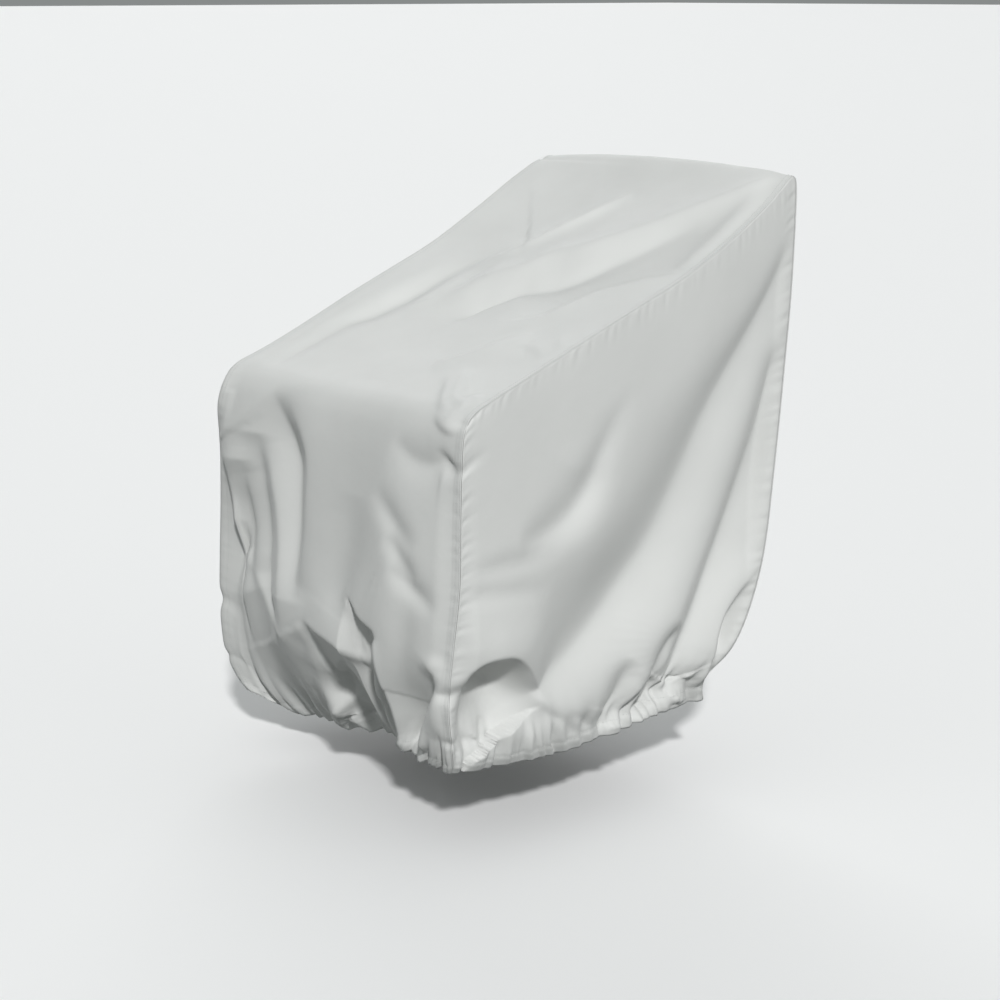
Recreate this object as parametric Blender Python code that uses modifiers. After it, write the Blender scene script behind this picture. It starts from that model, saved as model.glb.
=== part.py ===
"""Fitted cover for a high-backed lounge chair, in the shape it takes when it is on.

Three cut panels of thin woven cloth, sewn along two seams that run up the front
corners, along the arms and over the back corners:
  panel_main        front, sloping top and back in one strip
  panel_side_right  right side
  panel_side_left   left side
The hem is turned up on each panel and drawn in by its elastic. The cover is
hollow and open at the bottom.

Shapes are worked out on the floor stand: x to the right seen from the front,
y to the back, z the height above the floor. The objects are then placed so that
the origin is the underside of the cloth at the middle of the top ridge.
Lengths are in metres, fold heights and widths in millimetres.
"""
import math

import bmesh
import bpy
import numpy as np

# ------------------------------------------------------------------ main sizes
THICK = 0.0015        # cloth with its waterproof backing
SEAM_GAP = 0.0012     # side panels stop this far under the main panel
SIDE_BELLY = 0.010    # how far a side panel swells between its edges
SKIRT_OUT = 0.020     # the hem of a side hangs this far out between its corners
S_SHOULDER = 0.532    # arc length from front hem to the middle of the shoulder
S_RIDGE = 1.262       # arc length from front hem to the top ridge
EDGE_CALM = 0.030     # folds die out over this distance before a seam
HALF = 0.288          # half the width between the seams
GATHER = 0.004        # height of the gathers that the hem elastic makes
READ_FROM = np.array([2.572, -2.176, 1.238])   # point from which the folds' places are measured
READ_AXES = np.array([[0.6534, 0.7570, 0.0], [-0.1716, 0.1481, 0.9740], [-0.7373, 0.6364, -0.2267]])

FRONT_ROWS, TOP_ROWS, BACK_ROWS = 24, 20, 24   # grid rows along the main panel
ACROSS = 19                                    # grid columns across the main panel

# Seam line of the right side, from the front hem, up the front corner, along the
# arm and the sloping top, over the back corner and down to the rear hem.
# Columns: y, z, half width of the cover there
SEAM = [
    (-0.258, 0.128, 0.243), (-0.268, 0.150, 0.258), (-0.281, 0.190, 0.270),
    (-0.287, 0.250, 0.273), (-0.284, 0.330, 0.281), (-0.279, 0.420, 0.289),
    (-0.276, 0.520, 0.288), (-0.273, 0.600, 0.288), (-0.267, 0.640, 0.287),
    (-0.250, 0.663, 0.286), (-0.212, 0.680, 0.286), (-0.115, 0.717, 0.287),
    (-0.024, 0.752, 0.288), (0.060, 0.783, 0.288), (0.155, 0.818, 0.288),
    (0.250, 0.864, 0.288), (0.325, 0.908, 0.287), (0.368, 0.938, 0.285),
    (0.388, 0.952, 0.283), (0.400, 0.956, 0.282), (0.406, 0.940, 0.283),
    (0.402, 0.866, 0.286), (0.395, 0.766, 0.288), (0.386, 0.670, 0.288),
    (0.377, 0.577, 0.288), (0.366, 0.481, 0.288), (0.356, 0.401, 0.288),
    (0.341, 0.334, 0.288), (0.315, 0.260, 0.284), (0.290, 0.212, 0.275),
    (0.260, 0.174, 0.255), (0.258, 0.150, 0.247), (0.264, 0.128, 0.243),
]

# The left seam sags further out sideways than the right one, in front and low
# down, and stays higher along the top.
# Columns: arc length s, outward shift in x, outward shift in y, raise in z
LEFT_SEAM = [
    (0.000, 0.122, -0.058, -0.034), (0.030, 0.122, -0.058, -0.032), (0.080, 0.119, -0.056, -0.027),
    (0.150, 0.110, -0.051, -0.018), (0.220, 0.090, -0.042, -0.010), (0.300, 0.064, -0.029, -0.004),
    (0.380, 0.042, -0.014, 0.000), (0.430, 0.028, -0.002, 0.000), (0.480, 0.014, 0.010, 0.000),
    (0.530, 0.006, 0.006, 0.000), (0.620, 0.000, 0.000, 0.000),
    (0.800, 0.000, 0.000, 0.006), (0.920, 0.000, 0.000, 0.010), (1.050, 0.000, 0.000, 0.017),
    (1.150, 0.000, 0.000, 0.018), (1.210, 0.000, 0.000, 0.012), (1.250, 0.000, 0.000, 0.003),
    (1.270, 0.000, 0.000, 0.000), (1.900, 0.000, 0.000, 0.000), (1.960, 0.006, 0.006, 0.000),
    (2.040, 0.004, 0.004, 0.000), (2.070, 0.000, 0.000, 0.000),
]

# Half width of the plain panel on which the places of the folds were read.
# Columns: arc length s, half width
PLAIN = [(0.000, 0.243), (0.024, 0.262), (0.064, 0.281), (0.125, 0.290), (0.300, 0.290),
         (0.450, 0.289), (0.600, 0.287), (1.200, 0.286), (1.270, 0.283), (1.340, 0.286),
         (1.450, 0.288), (2.100, 0.288)]

# Places where a seam is drawn in by creases that cross it.
# Columns: side, arc length s, depth, reach (mm)
NOTCHES = [
    (1, 0.134, 6, 11), (1, 0.060, 3, 7), (1, 0.462, 3, 9), (1, 0.528, 2, 6),
    (-1, 0.150, 4, 14), (-1, 0.060, 3, 9),
]

# The hem of the right side hangs a little lower in front than at the back.
# Columns: place a along the hem, raise in z
HEM_RAISE = [(0.00, 0.000), (0.15, -0.005), (0.35, -0.008), (0.60, -0.003),
             (0.75, 0.002), (0.90, 0.005), (1.00, 0.000)]

# How far the middle of the main panel lies outside (+) or inside (-) the seams.
# Columns: arc length s, lift
LIFT = [
    (0.00, 0.000), (0.10, 0.003), (0.30, 0.006), (0.45, 0.003), (0.53, -0.004),
    (0.62, -0.010), (0.75, -0.019), (0.90, -0.018), (1.08, -0.010), (1.20, 0.004),
    (1.25, 0.012), (1.28, 0.013), (1.33, 0.008), (1.48, 0.002), (1.75, -0.008),
    (2.10, 0.000),
]

# Folds of the main panel. A fold is a line of points with
# u   place across, -1 at the left seam to 1 at the right seam
# s   arc length from the front hem
# h   height, a ridge above 0 and a trough below 0
# lo  width of its flank towards the left or above
# hi  width of its flank towards the right or below
# and a sharpness: 1 is a crease, 2 is a soft wave. The place is
# the one that the line has on the plain panel; settle() slides it along the line
# to READ_FROM by its own height.
FOLDS_MAIN = [
    ("crescent at the left of the front", 1.4, [
        (-0.62, 0.515, 0, 50, 20), (-0.50, 0.488, -15, 84, 28), (-0.41, 0.466, -25, 92, 34),
        (-0.335, 0.440, -33, 92, 37), (-0.298, 0.412, -36, 90, 38), (-0.294, 0.360, -36, 88, 38),
        (-0.298, 0.310, -31, 76, 36), (-0.312, 0.265, -22, 60, 32), (-0.335, 0.230, -11, 46, 26),
        (-0.36, 0.195, 0, 36, 20)]),
    ("crest of the crescent", 1.2, [
        (-0.46, 0.508, 0, 14, 40), (-0.37, 0.484, 5, 14, 56), (-0.285, 0.452, 9, 14, 60),
        (-0.245, 0.418, 10, 14, 60), (-0.248, 0.360, 10, 14, 60), (-0.256, 0.310, 9, 14, 60),
        (-0.278, 0.262, 6, 14, 50), (-0.31, 0.225, 0, 14, 40)]),
    ("second trough of the front", 1.4, [
        (-0.70, 0.445, 0, 40, 20), (-0.675, 0.414, -15, 52, 30), (-0.636, 0.376, -29, 62, 36),
        (-0.600, 0.330, -38, 64, 40), (-0.572, 0.280, -40, 64, 40), (-0.558, 0.225, -38, 60, 38),
        (-0.532, 0.180, -28, 46, 32), (-0.490, 0.138, -12, 34, 22), (-0.45, 0.105, 0, 26, 16)]),
    ("crest of the second trough", 1.2, [
        (-0.62, 0.430, 0, 12, 40), (-0.565, 0.388, 7, 13, 56), (-0.518, 0.336, 11, 13, 60),
        (-0.498, 0.282, 12, 13, 60), (-0.494, 0.225, 11, 13, 56), (-0.482, 0.180, 7, 12, 50),
        (-0.45, 0.135, 0, 10, 40)]),
    ("third trough of the front", 1.4, [
        (-0.87, 0.395, 0, 26, 14), (-0.835, 0.362, -12, 40, 24), (-0.800, 0.328, -22, 46, 28),
        (-0.778, 0.290, -27, 46, 30), (-0.762, 0.255, -24, 42, 28), (-0.745, 0.222, -14, 32, 20),
        (-0.73, 0.192, 0, 20, 14)]),
    ("crest of the third trough", 1.2, [
        (-0.81, 0.378, 0, 9, 30), (-0.768, 0.348, 6, 10, 44), (-0.742, 0.306, 9, 10, 48),
        (-0.724, 0.262, 8, 10, 44), (-0.712, 0.222, 0, 9, 40)]),
    ("crest at the left corner", 1.6, [
        (-0.94, 0.440, 0, 26, 30), (-0.930, 0.385, 8, 28, 36), (-0.915, 0.325, 11, 28, 38),
        (-0.885, 0.285, 9, 26, 34), (-0.84, 0.252, 0, 22, 24)]),
    ("ridge at the right edge of the hollow", 1.3, [
        (0.36, 0.185, 0, 30, 12), (0.375, 0.145, 12, 56, 14), (0.39, 0.105, 20, 72, 15),
        (0.45, 0.075, 22, 76, 15), (0.54, 0.042, 16, 60, 15), (0.60, 0.010, 8, 40, 14)]),
    ("ridge that runs down to the hem", 1.3, [
        (-0.29, 0.168, 0, 12, 14), (-0.22, 0.142, 14, 17, 20), (-0.16, 0.110, 22, 20, 22),
        (-0.11, 0.074, 26, 22, 22), (-0.085, 0.040, 24, 20, 20), (-0.07, 0.005, 14, 14, 14)]),
    ("small ridge beside its foot", 1.3, [
        (0.17, 0.060, 0, 8, 8), (0.11, 0.060, 8, 9, 9), (0.06, 0.048, 14, 12, 11),
        (0.055, 0.022, 10, 12, 11), (0.06, 0.005, 0, 10, 8)]),
    ("hollow above it", 2.0, [
        (-0.24, 0.158, 0, 16, 18), (-0.10, 0.126, -12, 24, 28), (0.02, 0.108, -22, 32, 34),
        (0.15, 0.104, -28, 38, 38), (0.27, 0.110, -28, 38, 38), (0.35, 0.080, -22, 34, 32),
        (0.44, 0.048, -10, 26, 26), (0.52, 0.020, 0, 20, 20)]),
    ("lip over the hollow, left", 1.8, [
        (0.15, 0.152, 0, 40, 12), (0.10, 0.144, 5, 50, 14), (0.03, 0.150, 7, 55, 14),
        (-0.06, 0.156, 7, 55, 14), (-0.16, 0.164, 5, 50, 14), (-0.26, 0.178, 0, 30, 12)]),
    ("lip over the hollow, right", 1.8, [
        (0.58, 0.028, 0, 30, 12), (0.50, 0.055, 3, 40, 12), (0.46, 0.085, 5, 46, 12),
        (0.40, 0.096, 6, 55, 12), (0.360, 0.106, 7, 60, 14), (0.365, 0.138, 8, 66, 14),
        (0.374, 0.172, 9, 70, 14), (0.335, 0.194, 9, 70, 14), (0.28, 0.201, 8, 66, 14),
        (0.21, 0.210, 7, 60, 12), (0.15, 0.228, 5, 46, 12), (0.09, 0.242, 0, 30, 12)]),
    ("soft trough above the overhang", 1.8, [
        (0.17, 0.390, 0, 30, 30), (0.17, 0.350, -4, 35, 35), (0.12, 0.300, -6, 35, 35),
        (0.04, 0.240, -6, 35, 35), (-0.02, 0.200, 0, 30, 30)]),
    ("slanting crumple, upper", 1.6, [
        (0.33, 0.410, 0, 14, 16), (0.45, 0.378, -6.5, 15, 18), (0.55, 0.355, -6.5, 15, 18),
        (0.66, 0.335, 0, 12, 14)]),
    ("slanting crumple, middle", 1.5, [
        (0.42, 0.345, 0, 12, 14), (0.50, 0.330, -6.5, 13, 15), (0.60, 0.305, -5.2, 13, 15),
        (0.68, 0.290, 0, 10, 12)]),
    ("slanting crumple, lower", 1.5, [
        (0.45, 0.297, 0, 12, 14), (0.58, 0.286, -8.4, 14, 18), (0.70, 0.270, -8.4, 14, 18),
        (0.83, 0.250, 0, 12, 14)]),
    ("upright trough right of the middle", 1.7, [
        (0.62, 0.290, 0, 20, 20), (0.60, 0.220, -6, 22, 22), (0.58, 0.150, -7, 22, 22),
        (0.56, 0.090, -4, 20, 20), (0.55, 0.050, 0, 16, 16)]),
    ("hollow by the right corner", 1.7, [
        (0.86, 0.160, 0, 24, 10), (0.835, 0.135, -24, 34, 12), (0.800, 0.105, -38, 40, 14),
        (0.775, 0.075, -36, 38, 14), (0.765, 0.045, -24, 32, 14), (0.76, 0.010, -8, 24, 14)]),
    ("lip by the right corner", 1.8, [
        (0.81, 0.055, 0, 12, 20), (0.830, 0.085, 6, 10, 24), (0.865, 0.118, 9, 10, 26),
        (0.888, 0.148, 10, 10, 28), (0.870, 0.168, 9, 10, 30), (0.80, 0.168, 6, 12, 34),
        (0.74, 0.155, 0, 14, 30)]),
    ("dent under the right end of the arm", 1.4, [
        (1.00, 0.455, 0, 8, 8), (0.95, 0.462, -7, 9, 10), (0.88, 0.470, -9, 12, 16),
        (0.78, 0.462, -9, 18, 24), (0.66, 0.462, -8, 20, 26), (0.56, 0.472, -5, 18, 22),
        (0.47, 0.487, 0, 12, 16)]),
    ("crease in the dent", 1.1, [
        (0.80, 0.486, 0, 5, 5), (0.90, 0.476, -4, 5, 4), (0.97, 0.463, -5, 4, 4),
        (1.00, 0.456, 0, 4, 4)]),
    ("tip of the arm", 1.8, [
        (0.98, 0.522, 0, 14, 5), (0.93, 0.520, 5, 22, 5), (0.86, 0.520, 6, 24, 5),
        (0.79, 0.526, 5, 22, 5), (0.73, 0.540, 0, 14, 5)]),
    ("taut ridge from the right back corner across the top", 1.2, [
        (0.92, 1.254, 0, 12, 14), (0.80, 1.235, 11, 24, 20), (0.70, 1.215, 17, 36, 26),
        (0.50, 1.170, 25, 58, 34), (0.30, 1.125, 31, 84, 40), (0.10, 1.080, 35, 104, 44),
        (0.00, 1.050, 35, 110, 46), (-0.10, 1.020, 34, 112, 46), (-0.20, 0.980, 31, 108, 46),
        (-0.30, 0.940, 26, 94, 42), (-0.40, 0.890, 18, 76, 38), (-0.50, 0.845, 10, 60, 34),
        (-0.60, 0.800, 0, 44, 28)]),
    ("second ridge above it", 1.0, [
        (0.00, 1.182, 0, 10, 12), (-0.10, 1.166, 8, 14, 14), (-0.20, 1.140, 12.8, 16, 16),
        (-0.30, 1.103, 14.4, 20, 18), (-0.40, 1.048, 14.4, 22, 20), (-0.50, 0.990, 11.2, 22, 20),
        (-0.56, 0.935, 0, 18, 20)]),
    ("trough along the left arm", 1.5, [
        (-0.50, 1.020, 0, 18, 20), (-0.58, 0.955, -6.8, 24, 24), (-0.61, 0.900, -10.8, 26, 26),
        (-0.615, 0.840, -12.2, 26, 26), (-0.64, 0.790, -12.2, 26, 26), (-0.675, 0.750, -12.2, 26, 24),
        (-0.740, 0.715, -10.8, 24, 22), (-0.745, 0.670, -8.1, 20, 18), (-0.74, 0.610, -5.4, 18, 16),
        (-0.74, 0.550, 0, 14, 14)]),
    ("trough left of the taut ridge", 1.6, [
        (-0.40, 1.000, 0, 16, 20), (-0.44, 0.950, -6, 20, 24), (-0.455, 0.900, -7.5, 20, 26),
        (-0.45, 0.850, -6, 20, 24), (-0.44, 0.800, 0, 16, 18)]),
    ("trough of the seat", 1.2, [
        (0.68, 1.130, 0, 12, 14), (0.55, 1.095, -5.6, 16, 20), (0.40, 1.040, -8.4, 18, 24),
        (0.25, 1.000, -11.2, 18, 28), (0.10, 0.965, -12.6, 18, 28), (0.00, 0.942, -14, 20, 26),
        (-0.07, 0.915, -16.8, 30, 16), (-0.10, 0.870, -18.2, 34, 12), (-0.105, 0.820, -15.4, 34, 12),
        (-0.12, 0.780, 0, 20, 16)]),
    ("soft rise of the seat", 2.0, [
        (0.26, 0.900, 0, 50, 40), (0.22, 0.840, 6, 50, 40), (0.19, 0.780, 6, 50, 40),
        (0.14, 0.700, 0, 40, 30)]),
    ("inner edge of the right arm, rear", 1.2, [
        (0.99, 0.978, 0, 8, 16), (0.90, 0.985, 4.2, 10, 24), (0.75, 0.980, 7, 12, 34),
        (0.60, 0.955, 9.8, 14, 40), (0.51, 0.932, 11.2, 16, 44), (0.465, 0.900, 12.6, 20, 46),
        (0.43, 0.868, 12.6, 22, 46), (0.38, 0.842, 9.8, 20, 40), (0.30, 0.822, 7, 16, 30),
        (0.20, 0.815, 0, 12, 20)]),
    ("inner edge of the right arm, front", 1.2, [
        (0.56, 0.785, 0, 10, 20), (0.47, 0.778, 5.6, 12, 34), (0.40, 0.762, 9.8, 16, 44),
        (0.36, 0.738, 11.2, 20, 46), (0.31, 0.705, 9.8, 20, 44), (0.26, 0.680, 7, 18, 36),
        (0.22, 0.655, 0, 14, 24)]),
    ("first crumple towards the arm corner", 1.3, [
        (0.40, 0.672, 0, 8, 10), (0.52, 0.642, 5.1, 9, 12), (0.62, 0.608, 6.8, 9, 12),
        (0.72, 0.582, 6.8, 9, 12), (0.83, 0.572, 5.1, 8, 10), (0.90, 0.566, 0, 6, 8)]),
    ("second crumple towards the arm corner", 1.3, [
        (0.38, 0.648, 0, 7, 9), (0.50, 0.622, 5.1, 8, 10), (0.60, 0.590, 6, 8, 10),
        (0.70, 0.562, 5.1, 8, 10), (0.80, 0.545, 0, 6, 8)]),
    ("third crumple towards the arm corner", 1.3, [
        (0.50, 0.665, 0, 6, 8), (0.60, 0.636, 4.2, 7, 9), (0.72, 0.605, 5.1, 7, 9),
        (0.80, 0.590, 0, 6, 8)]),
    ("crumple round the arm corner", 1.3, [
        (0.78, 0.588, 0, 6, 8), (0.88, 0.584, 4.8, 7, 9), (0.94, 0.562, 4.8, 7, 8),
        (0.975, 0.532, 0, 5, 6)]),
    ("wrinkle on the right arm", 1.3, [
        (0.50, 0.757, 0, 7, 9), (0.65, 0.752, 3.6, 8, 10), (0.78, 0.738, 3.6, 8, 10),
        (0.88, 0.715, 0, 6, 8)]),
    ("short wrinkle on the right arm", 1.3, [
        (0.74, 0.785, 0, 6, 8), (0.83, 0.765, 3.6, 7, 9), (0.93, 0.745, 0, 6, 8)]),
    ("ridge by the right back corner", 1.5, [
        (0.955, 1.245, 0, 14, 8), (0.925, 1.200, 5, 20, 10), (0.905, 1.140, 8, 24, 12),
        (0.90, 1.080, 8, 24, 12), (0.905, 1.030, 6, 20, 12), (0.93, 0.995, 0, 12, 8)]),
    ("fine line along the top ridge", 1.2, [
        (0.93, 1.264, 0, 4, 6), (0.75, 1.276, 2.5, 6, 9), (0.55, 1.288, 2.5, 6, 10),
        (0.35, 1.300, 0, 6, 8)]),
    ("top of the left arm", 2.0, [
        (-0.84, 1.020, 0, 20, 22), (-0.86, 0.900, 5, 26, 28), (-0.86, 0.760, 6, 28, 28),
        (-0.86, 0.620, 4, 26, 26), (-0.86, 0.540, 0, 20, 20)]),
    ("back, trough from the left corner", 1.6, [
        (-0.90, 1.330, 0, 20, 22), (-0.70, 1.420, -7, 30, 40), (-0.50, 1.560, -12, 40, 60),
        (-0.38, 1.740, -13, 45, 70), (-0.34, 1.920, -9, 40, 50), (-0.33, 2.040, 0, 30, 34)]),
    ("back, trough from the right corner", 1.6, [
        (0.90, 1.320, 0, 20, 20), (0.76, 1.440, -8, 34, 28), (0.62, 1.620, -13, 50, 36),
        (0.50, 1.800, -14, 56, 40), (0.44, 1.940, -9, 44, 36), (0.42, 2.050, 0, 30, 26)]),
    ("back, upright trough", 1.8, [
        (0.06, 1.500, 0, 30, 30), (0.04, 1.640, -6, 40, 40), (0.08, 1.800, -9, 44, 44),
        (0.10, 1.940, -8, 36, 36), (0.10, 2.050, 0, 26, 26)]),
    ("back, bag over the hem", 1.8, [
        (0.80, 1.960, 0, 60, 34), (0.50, 1.975, 12, 80, 40), (0.10, 1.965, 17, 90, 44),
        (-0.35, 1.975, 15, 86, 42), (-0.80, 1.955, 0, 60, 34)]),
]

# Folds of the right side panel. The place is a from the front seam (0) to the
# back seam (1), and b from the hem (0) to the arm seam (1); lo is above or in
# front of the line, hi below or behind it.
FOLDS_RIGHT = [
    ("long trough from the back corner", 1.5, [
        (1.00, 0.892, 0, 16, 20), (0.93, 0.845, -9, 18, 40), (0.85, 0.797, -15, 24, 54),
        (0.76, 0.738, -21, 36, 66), (0.69, 0.672, -28, 50, 80), (0.62, 0.575, -35, 66, 88),
        (0.545, 0.470, -40, 78, 86), (0.45, 0.382, -42, 82, 76), (0.37, 0.302, -36, 80, 58),
        (0.305, 0.248, -25, 60, 42), (0.265, 0.215, -12, 40, 28), (0.235, 0.190, 0, 24, 20)]),
    ("taut ridge behind it", 2.0, [
        (0.98, 0.720, 0, 40, 30), (0.85, 0.560, 10, 60, 40), (0.75, 0.400, 14, 70, 44),
        (0.69, 0.270, 16, 70, 40), (0.66, 0.190, 12, 50, 30), (0.66, 0.120, 0, 30, 20)]),
    ("trough behind the taut ridge", 1.4, [
        (1.00, 0.690, 0, 16, 20), (0.955, 0.664, -14, 24, 36), (0.912, 0.612, -24, 30, 50),
        (0.872, 0.545, -30, 34, 58), (0.835, 0.475, -33, 36, 60), (0.797, 0.398, -35, 36, 58),
        (0.765, 0.325, -37, 36, 52), (0.750, 0.268, -38, 36, 46), (0.740, 0.205, -39, 36, 40),
        (0.732, 0.150, -37, 34, 32), (0.722, 0.110, -31, 28, 24), (0.728, 0.085, -27, 26, 20),
        (0.745, 0.060, -21, 22, 18), (0.765, 0.030, -10, 16, 16)]),
    ("foot of the taut ridge", 1.6, [
        (0.705, 0.115, 0, 12, 20), (0.722, 0.098, 11, 14, 36), (0.745, 0.074, 13, 14, 36),
        (0.765, 0.050, 8, 12, 26), (0.780, 0.030, 0, 10, 16)]),
    ("bag that hangs over at the front", 1.8, [
        (0.262, 0.200, 0, 40, 14), (0.250, 0.222, 10, 50, 16), (0.225, 0.262, 20, 56, 18),
        (0.195, 0.292, 26, 66, 18), (0.150, 0.306, 27, 72, 18), (0.100, 0.312, 22, 74, 18),
        (0.060, 0.307, 17, 70, 18), (0.025, 0.296, 14, 60, 18), (-0.03, 0.286, 12, 50, 18)]),
    ("dent in the upper half", 1.6, [
        (0.48, 0.830, 0, 14, 14), (0.42, 0.775, -3, 18, 18), (0.375, 0.715, -8, 22, 20),
        (0.350, 0.670, -14, 30, 22), (0.32, 0.637, -17, 36, 24), (0.28, 0.610, -16, 36, 24),
        (0.22, 0.596, -9, 28, 20), (0.16, 0.600, 0, 16, 14)]),
    ("short fold to the hem, first", 1.5, [
        (0.575, 0.186, 0, 10, 8), (0.545, 0.168, -12, 20, 14), (0.527, 0.142, -20, 26, 16),
        (0.520, 0.108, -24, 28, 16), (0.524, 0.078, -24, 26, 16), (0.535, 0.050, -19, 22, 14),
        (0.550, 0.020, -8, 14, 12)]),
    ("short fold to the hem, second", 1.5, [
        (0.720, 0.224, 0, 10, 8), (0.688, 0.212, -14, 20, 14), (0.662, 0.182, -24, 28, 16),
        (0.646, 0.142, -31, 33, 16), (0.638, 0.105, -34, 36, 14), (0.644, 0.070, -32, 36, 12),
        (0.654, 0.046, -25, 32, 12), (0.662, 0.015, -10, 20, 12)]),
    ("fold that laps over low at the back", 1.4, [
        (1.000, 0.288, 0, 30, 10), (0.955, 0.263, 8, 40, 14), (0.925, 0.238, 12, 46, 16),
        (0.897, 0.208, 15, 50, 16), (0.878, 0.172, 17, 50, 16), (0.872, 0.138, 17, 46, 16),
        (0.872, 0.108, 15, 40, 16), (0.892, 0.082, 12, 30, 14), (0.915, 0.060, 8, 20, 12),
        (0.930, 0.040, 0, 14, 8)]),
    ("hollow behind that fold", 1.5, [
        (1.000, 0.245, 0, 14, 24), (0.965, 0.228, -6, 20, 34), (0.940, 0.190, -9, 26, 40),
        (0.918, 0.150, -10, 28, 40), (0.905, 0.115, -9, 26, 36), (0.920, 0.085, -6, 20, 26),
        (0.940, 0.055, 0, 12, 16)]),
    ("slanting pucker above the hem, first", 1.2, [
        (0.255, 0.162, 0, 6, 6), (0.300, 0.127, -4, 7, 8), (0.350, 0.100, -5, 8, 9),
        (0.400, 0.060, -5, 8, 9), (0.440, 0.030, 0, 6, 7)]),
    ("slanting pucker above the hem, second", 1.2, [
        (0.360, 0.118, 0, 6, 6), (0.420, 0.088, -4, 7, 8), (0.470, 0.055, -5, 8, 9),
        (0.505, 0.025, 0, 6, 7)]),
    ("soft valley by the front corner", 1.8, [
        (0.065, 0.240, 0, 10, 10), (0.100, 0.170, -5, 12, 12), (0.120, 0.120, -5, 12, 12),
        (0.150, 0.070, -4, 12, 12), (0.180, 0.035, 0, 8, 8)]),
    ("crease at the front corner", 1.6, [
        (0.000, 0.128, 0, 6, 6), (0.020, 0.127, -5, 7, 7), (0.045, 0.122, -4, 7, 7),
        (0.075, 0.114, 0, 5, 5)]),
    ("faint ripple by the front seam, upper", 1.8, [
        (0.30, 0.540, 0, 14, 14), (0.20, 0.545, -2.5, 14, 14), (0.10, 0.560, -3, 14, 14),
        (0.02, 0.580, 0, 10, 10)]),
    ("faint ripple by the front seam, lower", 1.8, [
        (0.26, 0.440, 0, 14, 14), (0.16, 0.470, -2.5, 14, 14), (0.07, 0.500, -3, 14, 14),
        (0.01, 0.510, 0, 10, 10)]),
]

# Folds of the left side panel, placed in the same way.
FOLDS_LEFT = [
    ("long trough from the back corner", 1.7, [
        (1.00, 0.930, 0, 20, 28), (0.88, 0.860, -8, 32, 44), (0.76, 0.740, -14, 46, 60),
        (0.66, 0.610, -19, 60, 76), (0.58, 0.480, -22, 66, 80), (0.51, 0.350, -22, 60, 76),
        (0.45, 0.240, -15, 46, 56), (0.41, 0.140, 0, 30, 36)]),
    ("taut ridge behind it", 1.4, [
        (1.00, 0.780, 0, 36, 14), (0.92, 0.670, 7, 50, 16), (0.85, 0.530, 11, 60, 20),
        (0.79, 0.390, 13, 64, 22), (0.74, 0.260, 12, 56, 20), (0.71, 0.150, 6, 40, 16),
        (0.70, 0.080, 0, 24, 12)]),
    ("trough from the arm corner", 1.6, [
        (0.02, 0.880, 0, 16, 18), (0.10, 0.760, -6, 24, 26), (0.17, 0.600, -10, 32, 36),
        (0.22, 0.440, -12, 36, 40), (0.25, 0.300, -9, 30, 34), (0.27, 0.180, 0, 20, 24)]),
    ("bag that hangs over at the front", 1.9, [
        (0.34, 0.190, 0, 50, 24), (0.26, 0.240, 13, 70, 28), (0.18, 0.265, 19, 80, 30),
        (0.10, 0.265, 18, 75, 28), (0.03, 0.245, 8, 50, 24)]),
    ("short fold to the hem, first", 1.4, [
        (0.60, 0.200, 0, 12, 9), (0.57, 0.150, -8, 15, 11), (0.55, 0.090, -10, 16, 11),
        (0.54, 0.035, -2, 12, 9)]),
    ("fold that laps over low at the back", 1.4, [
        (1.00, 0.330, 0, 28, 12), (0.94, 0.260, 12, 42, 15), (0.90, 0.180, 15, 46, 16),
        (0.88, 0.100, 12, 38, 15), (0.87, 0.040, 2, 24, 12)]),
]

# The lower front is drawn in by the hem elastic from this line downwards.
# Columns: u, s of the line, depth at the hem below it (mm)
TUCK = [
    (-1.10, 0.420, 76), (-1.00, 0.385, 78), (-0.95, 0.345, 86), (-0.90, 0.305, 94),
    (-0.86, 0.285, 100), (-0.82, 0.262, 108), (-0.77, 0.236, 114), (-0.70, 0.220, 116),
    (-0.62, 0.190, 114), (-0.55, 0.161, 108), (-0.49, 0.139, 102), (-0.44, 0.137, 100),
    (-0.38, 0.147, 98), (-0.32, 0.160, 98), (-0.26, 0.172, 96), (-0.16, 0.163, 93),
    (-0.06, 0.156, 90), (0.03, 0.150, 88), (0.09, 0.152, 86), (0.12, 0.195, 88),
    (0.15, 0.228, 92), (0.21, 0.210, 96), (0.28, 0.201, 94), (0.335, 0.193, 88),
    (0.365, 0.175, 78), (0.385, 0.120, 62), (0.42, 0.094, 50), (0.47, 0.080, 38),
    (0.52, 0.052, 22), (0.60, 0.022, 8), (0.66, 0.010, 0), (1.05, 0.010, 0),
]
TUCK_DROP = 0.36      # how far the drawn-in cloth hangs lower, for each unit of depth

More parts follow.
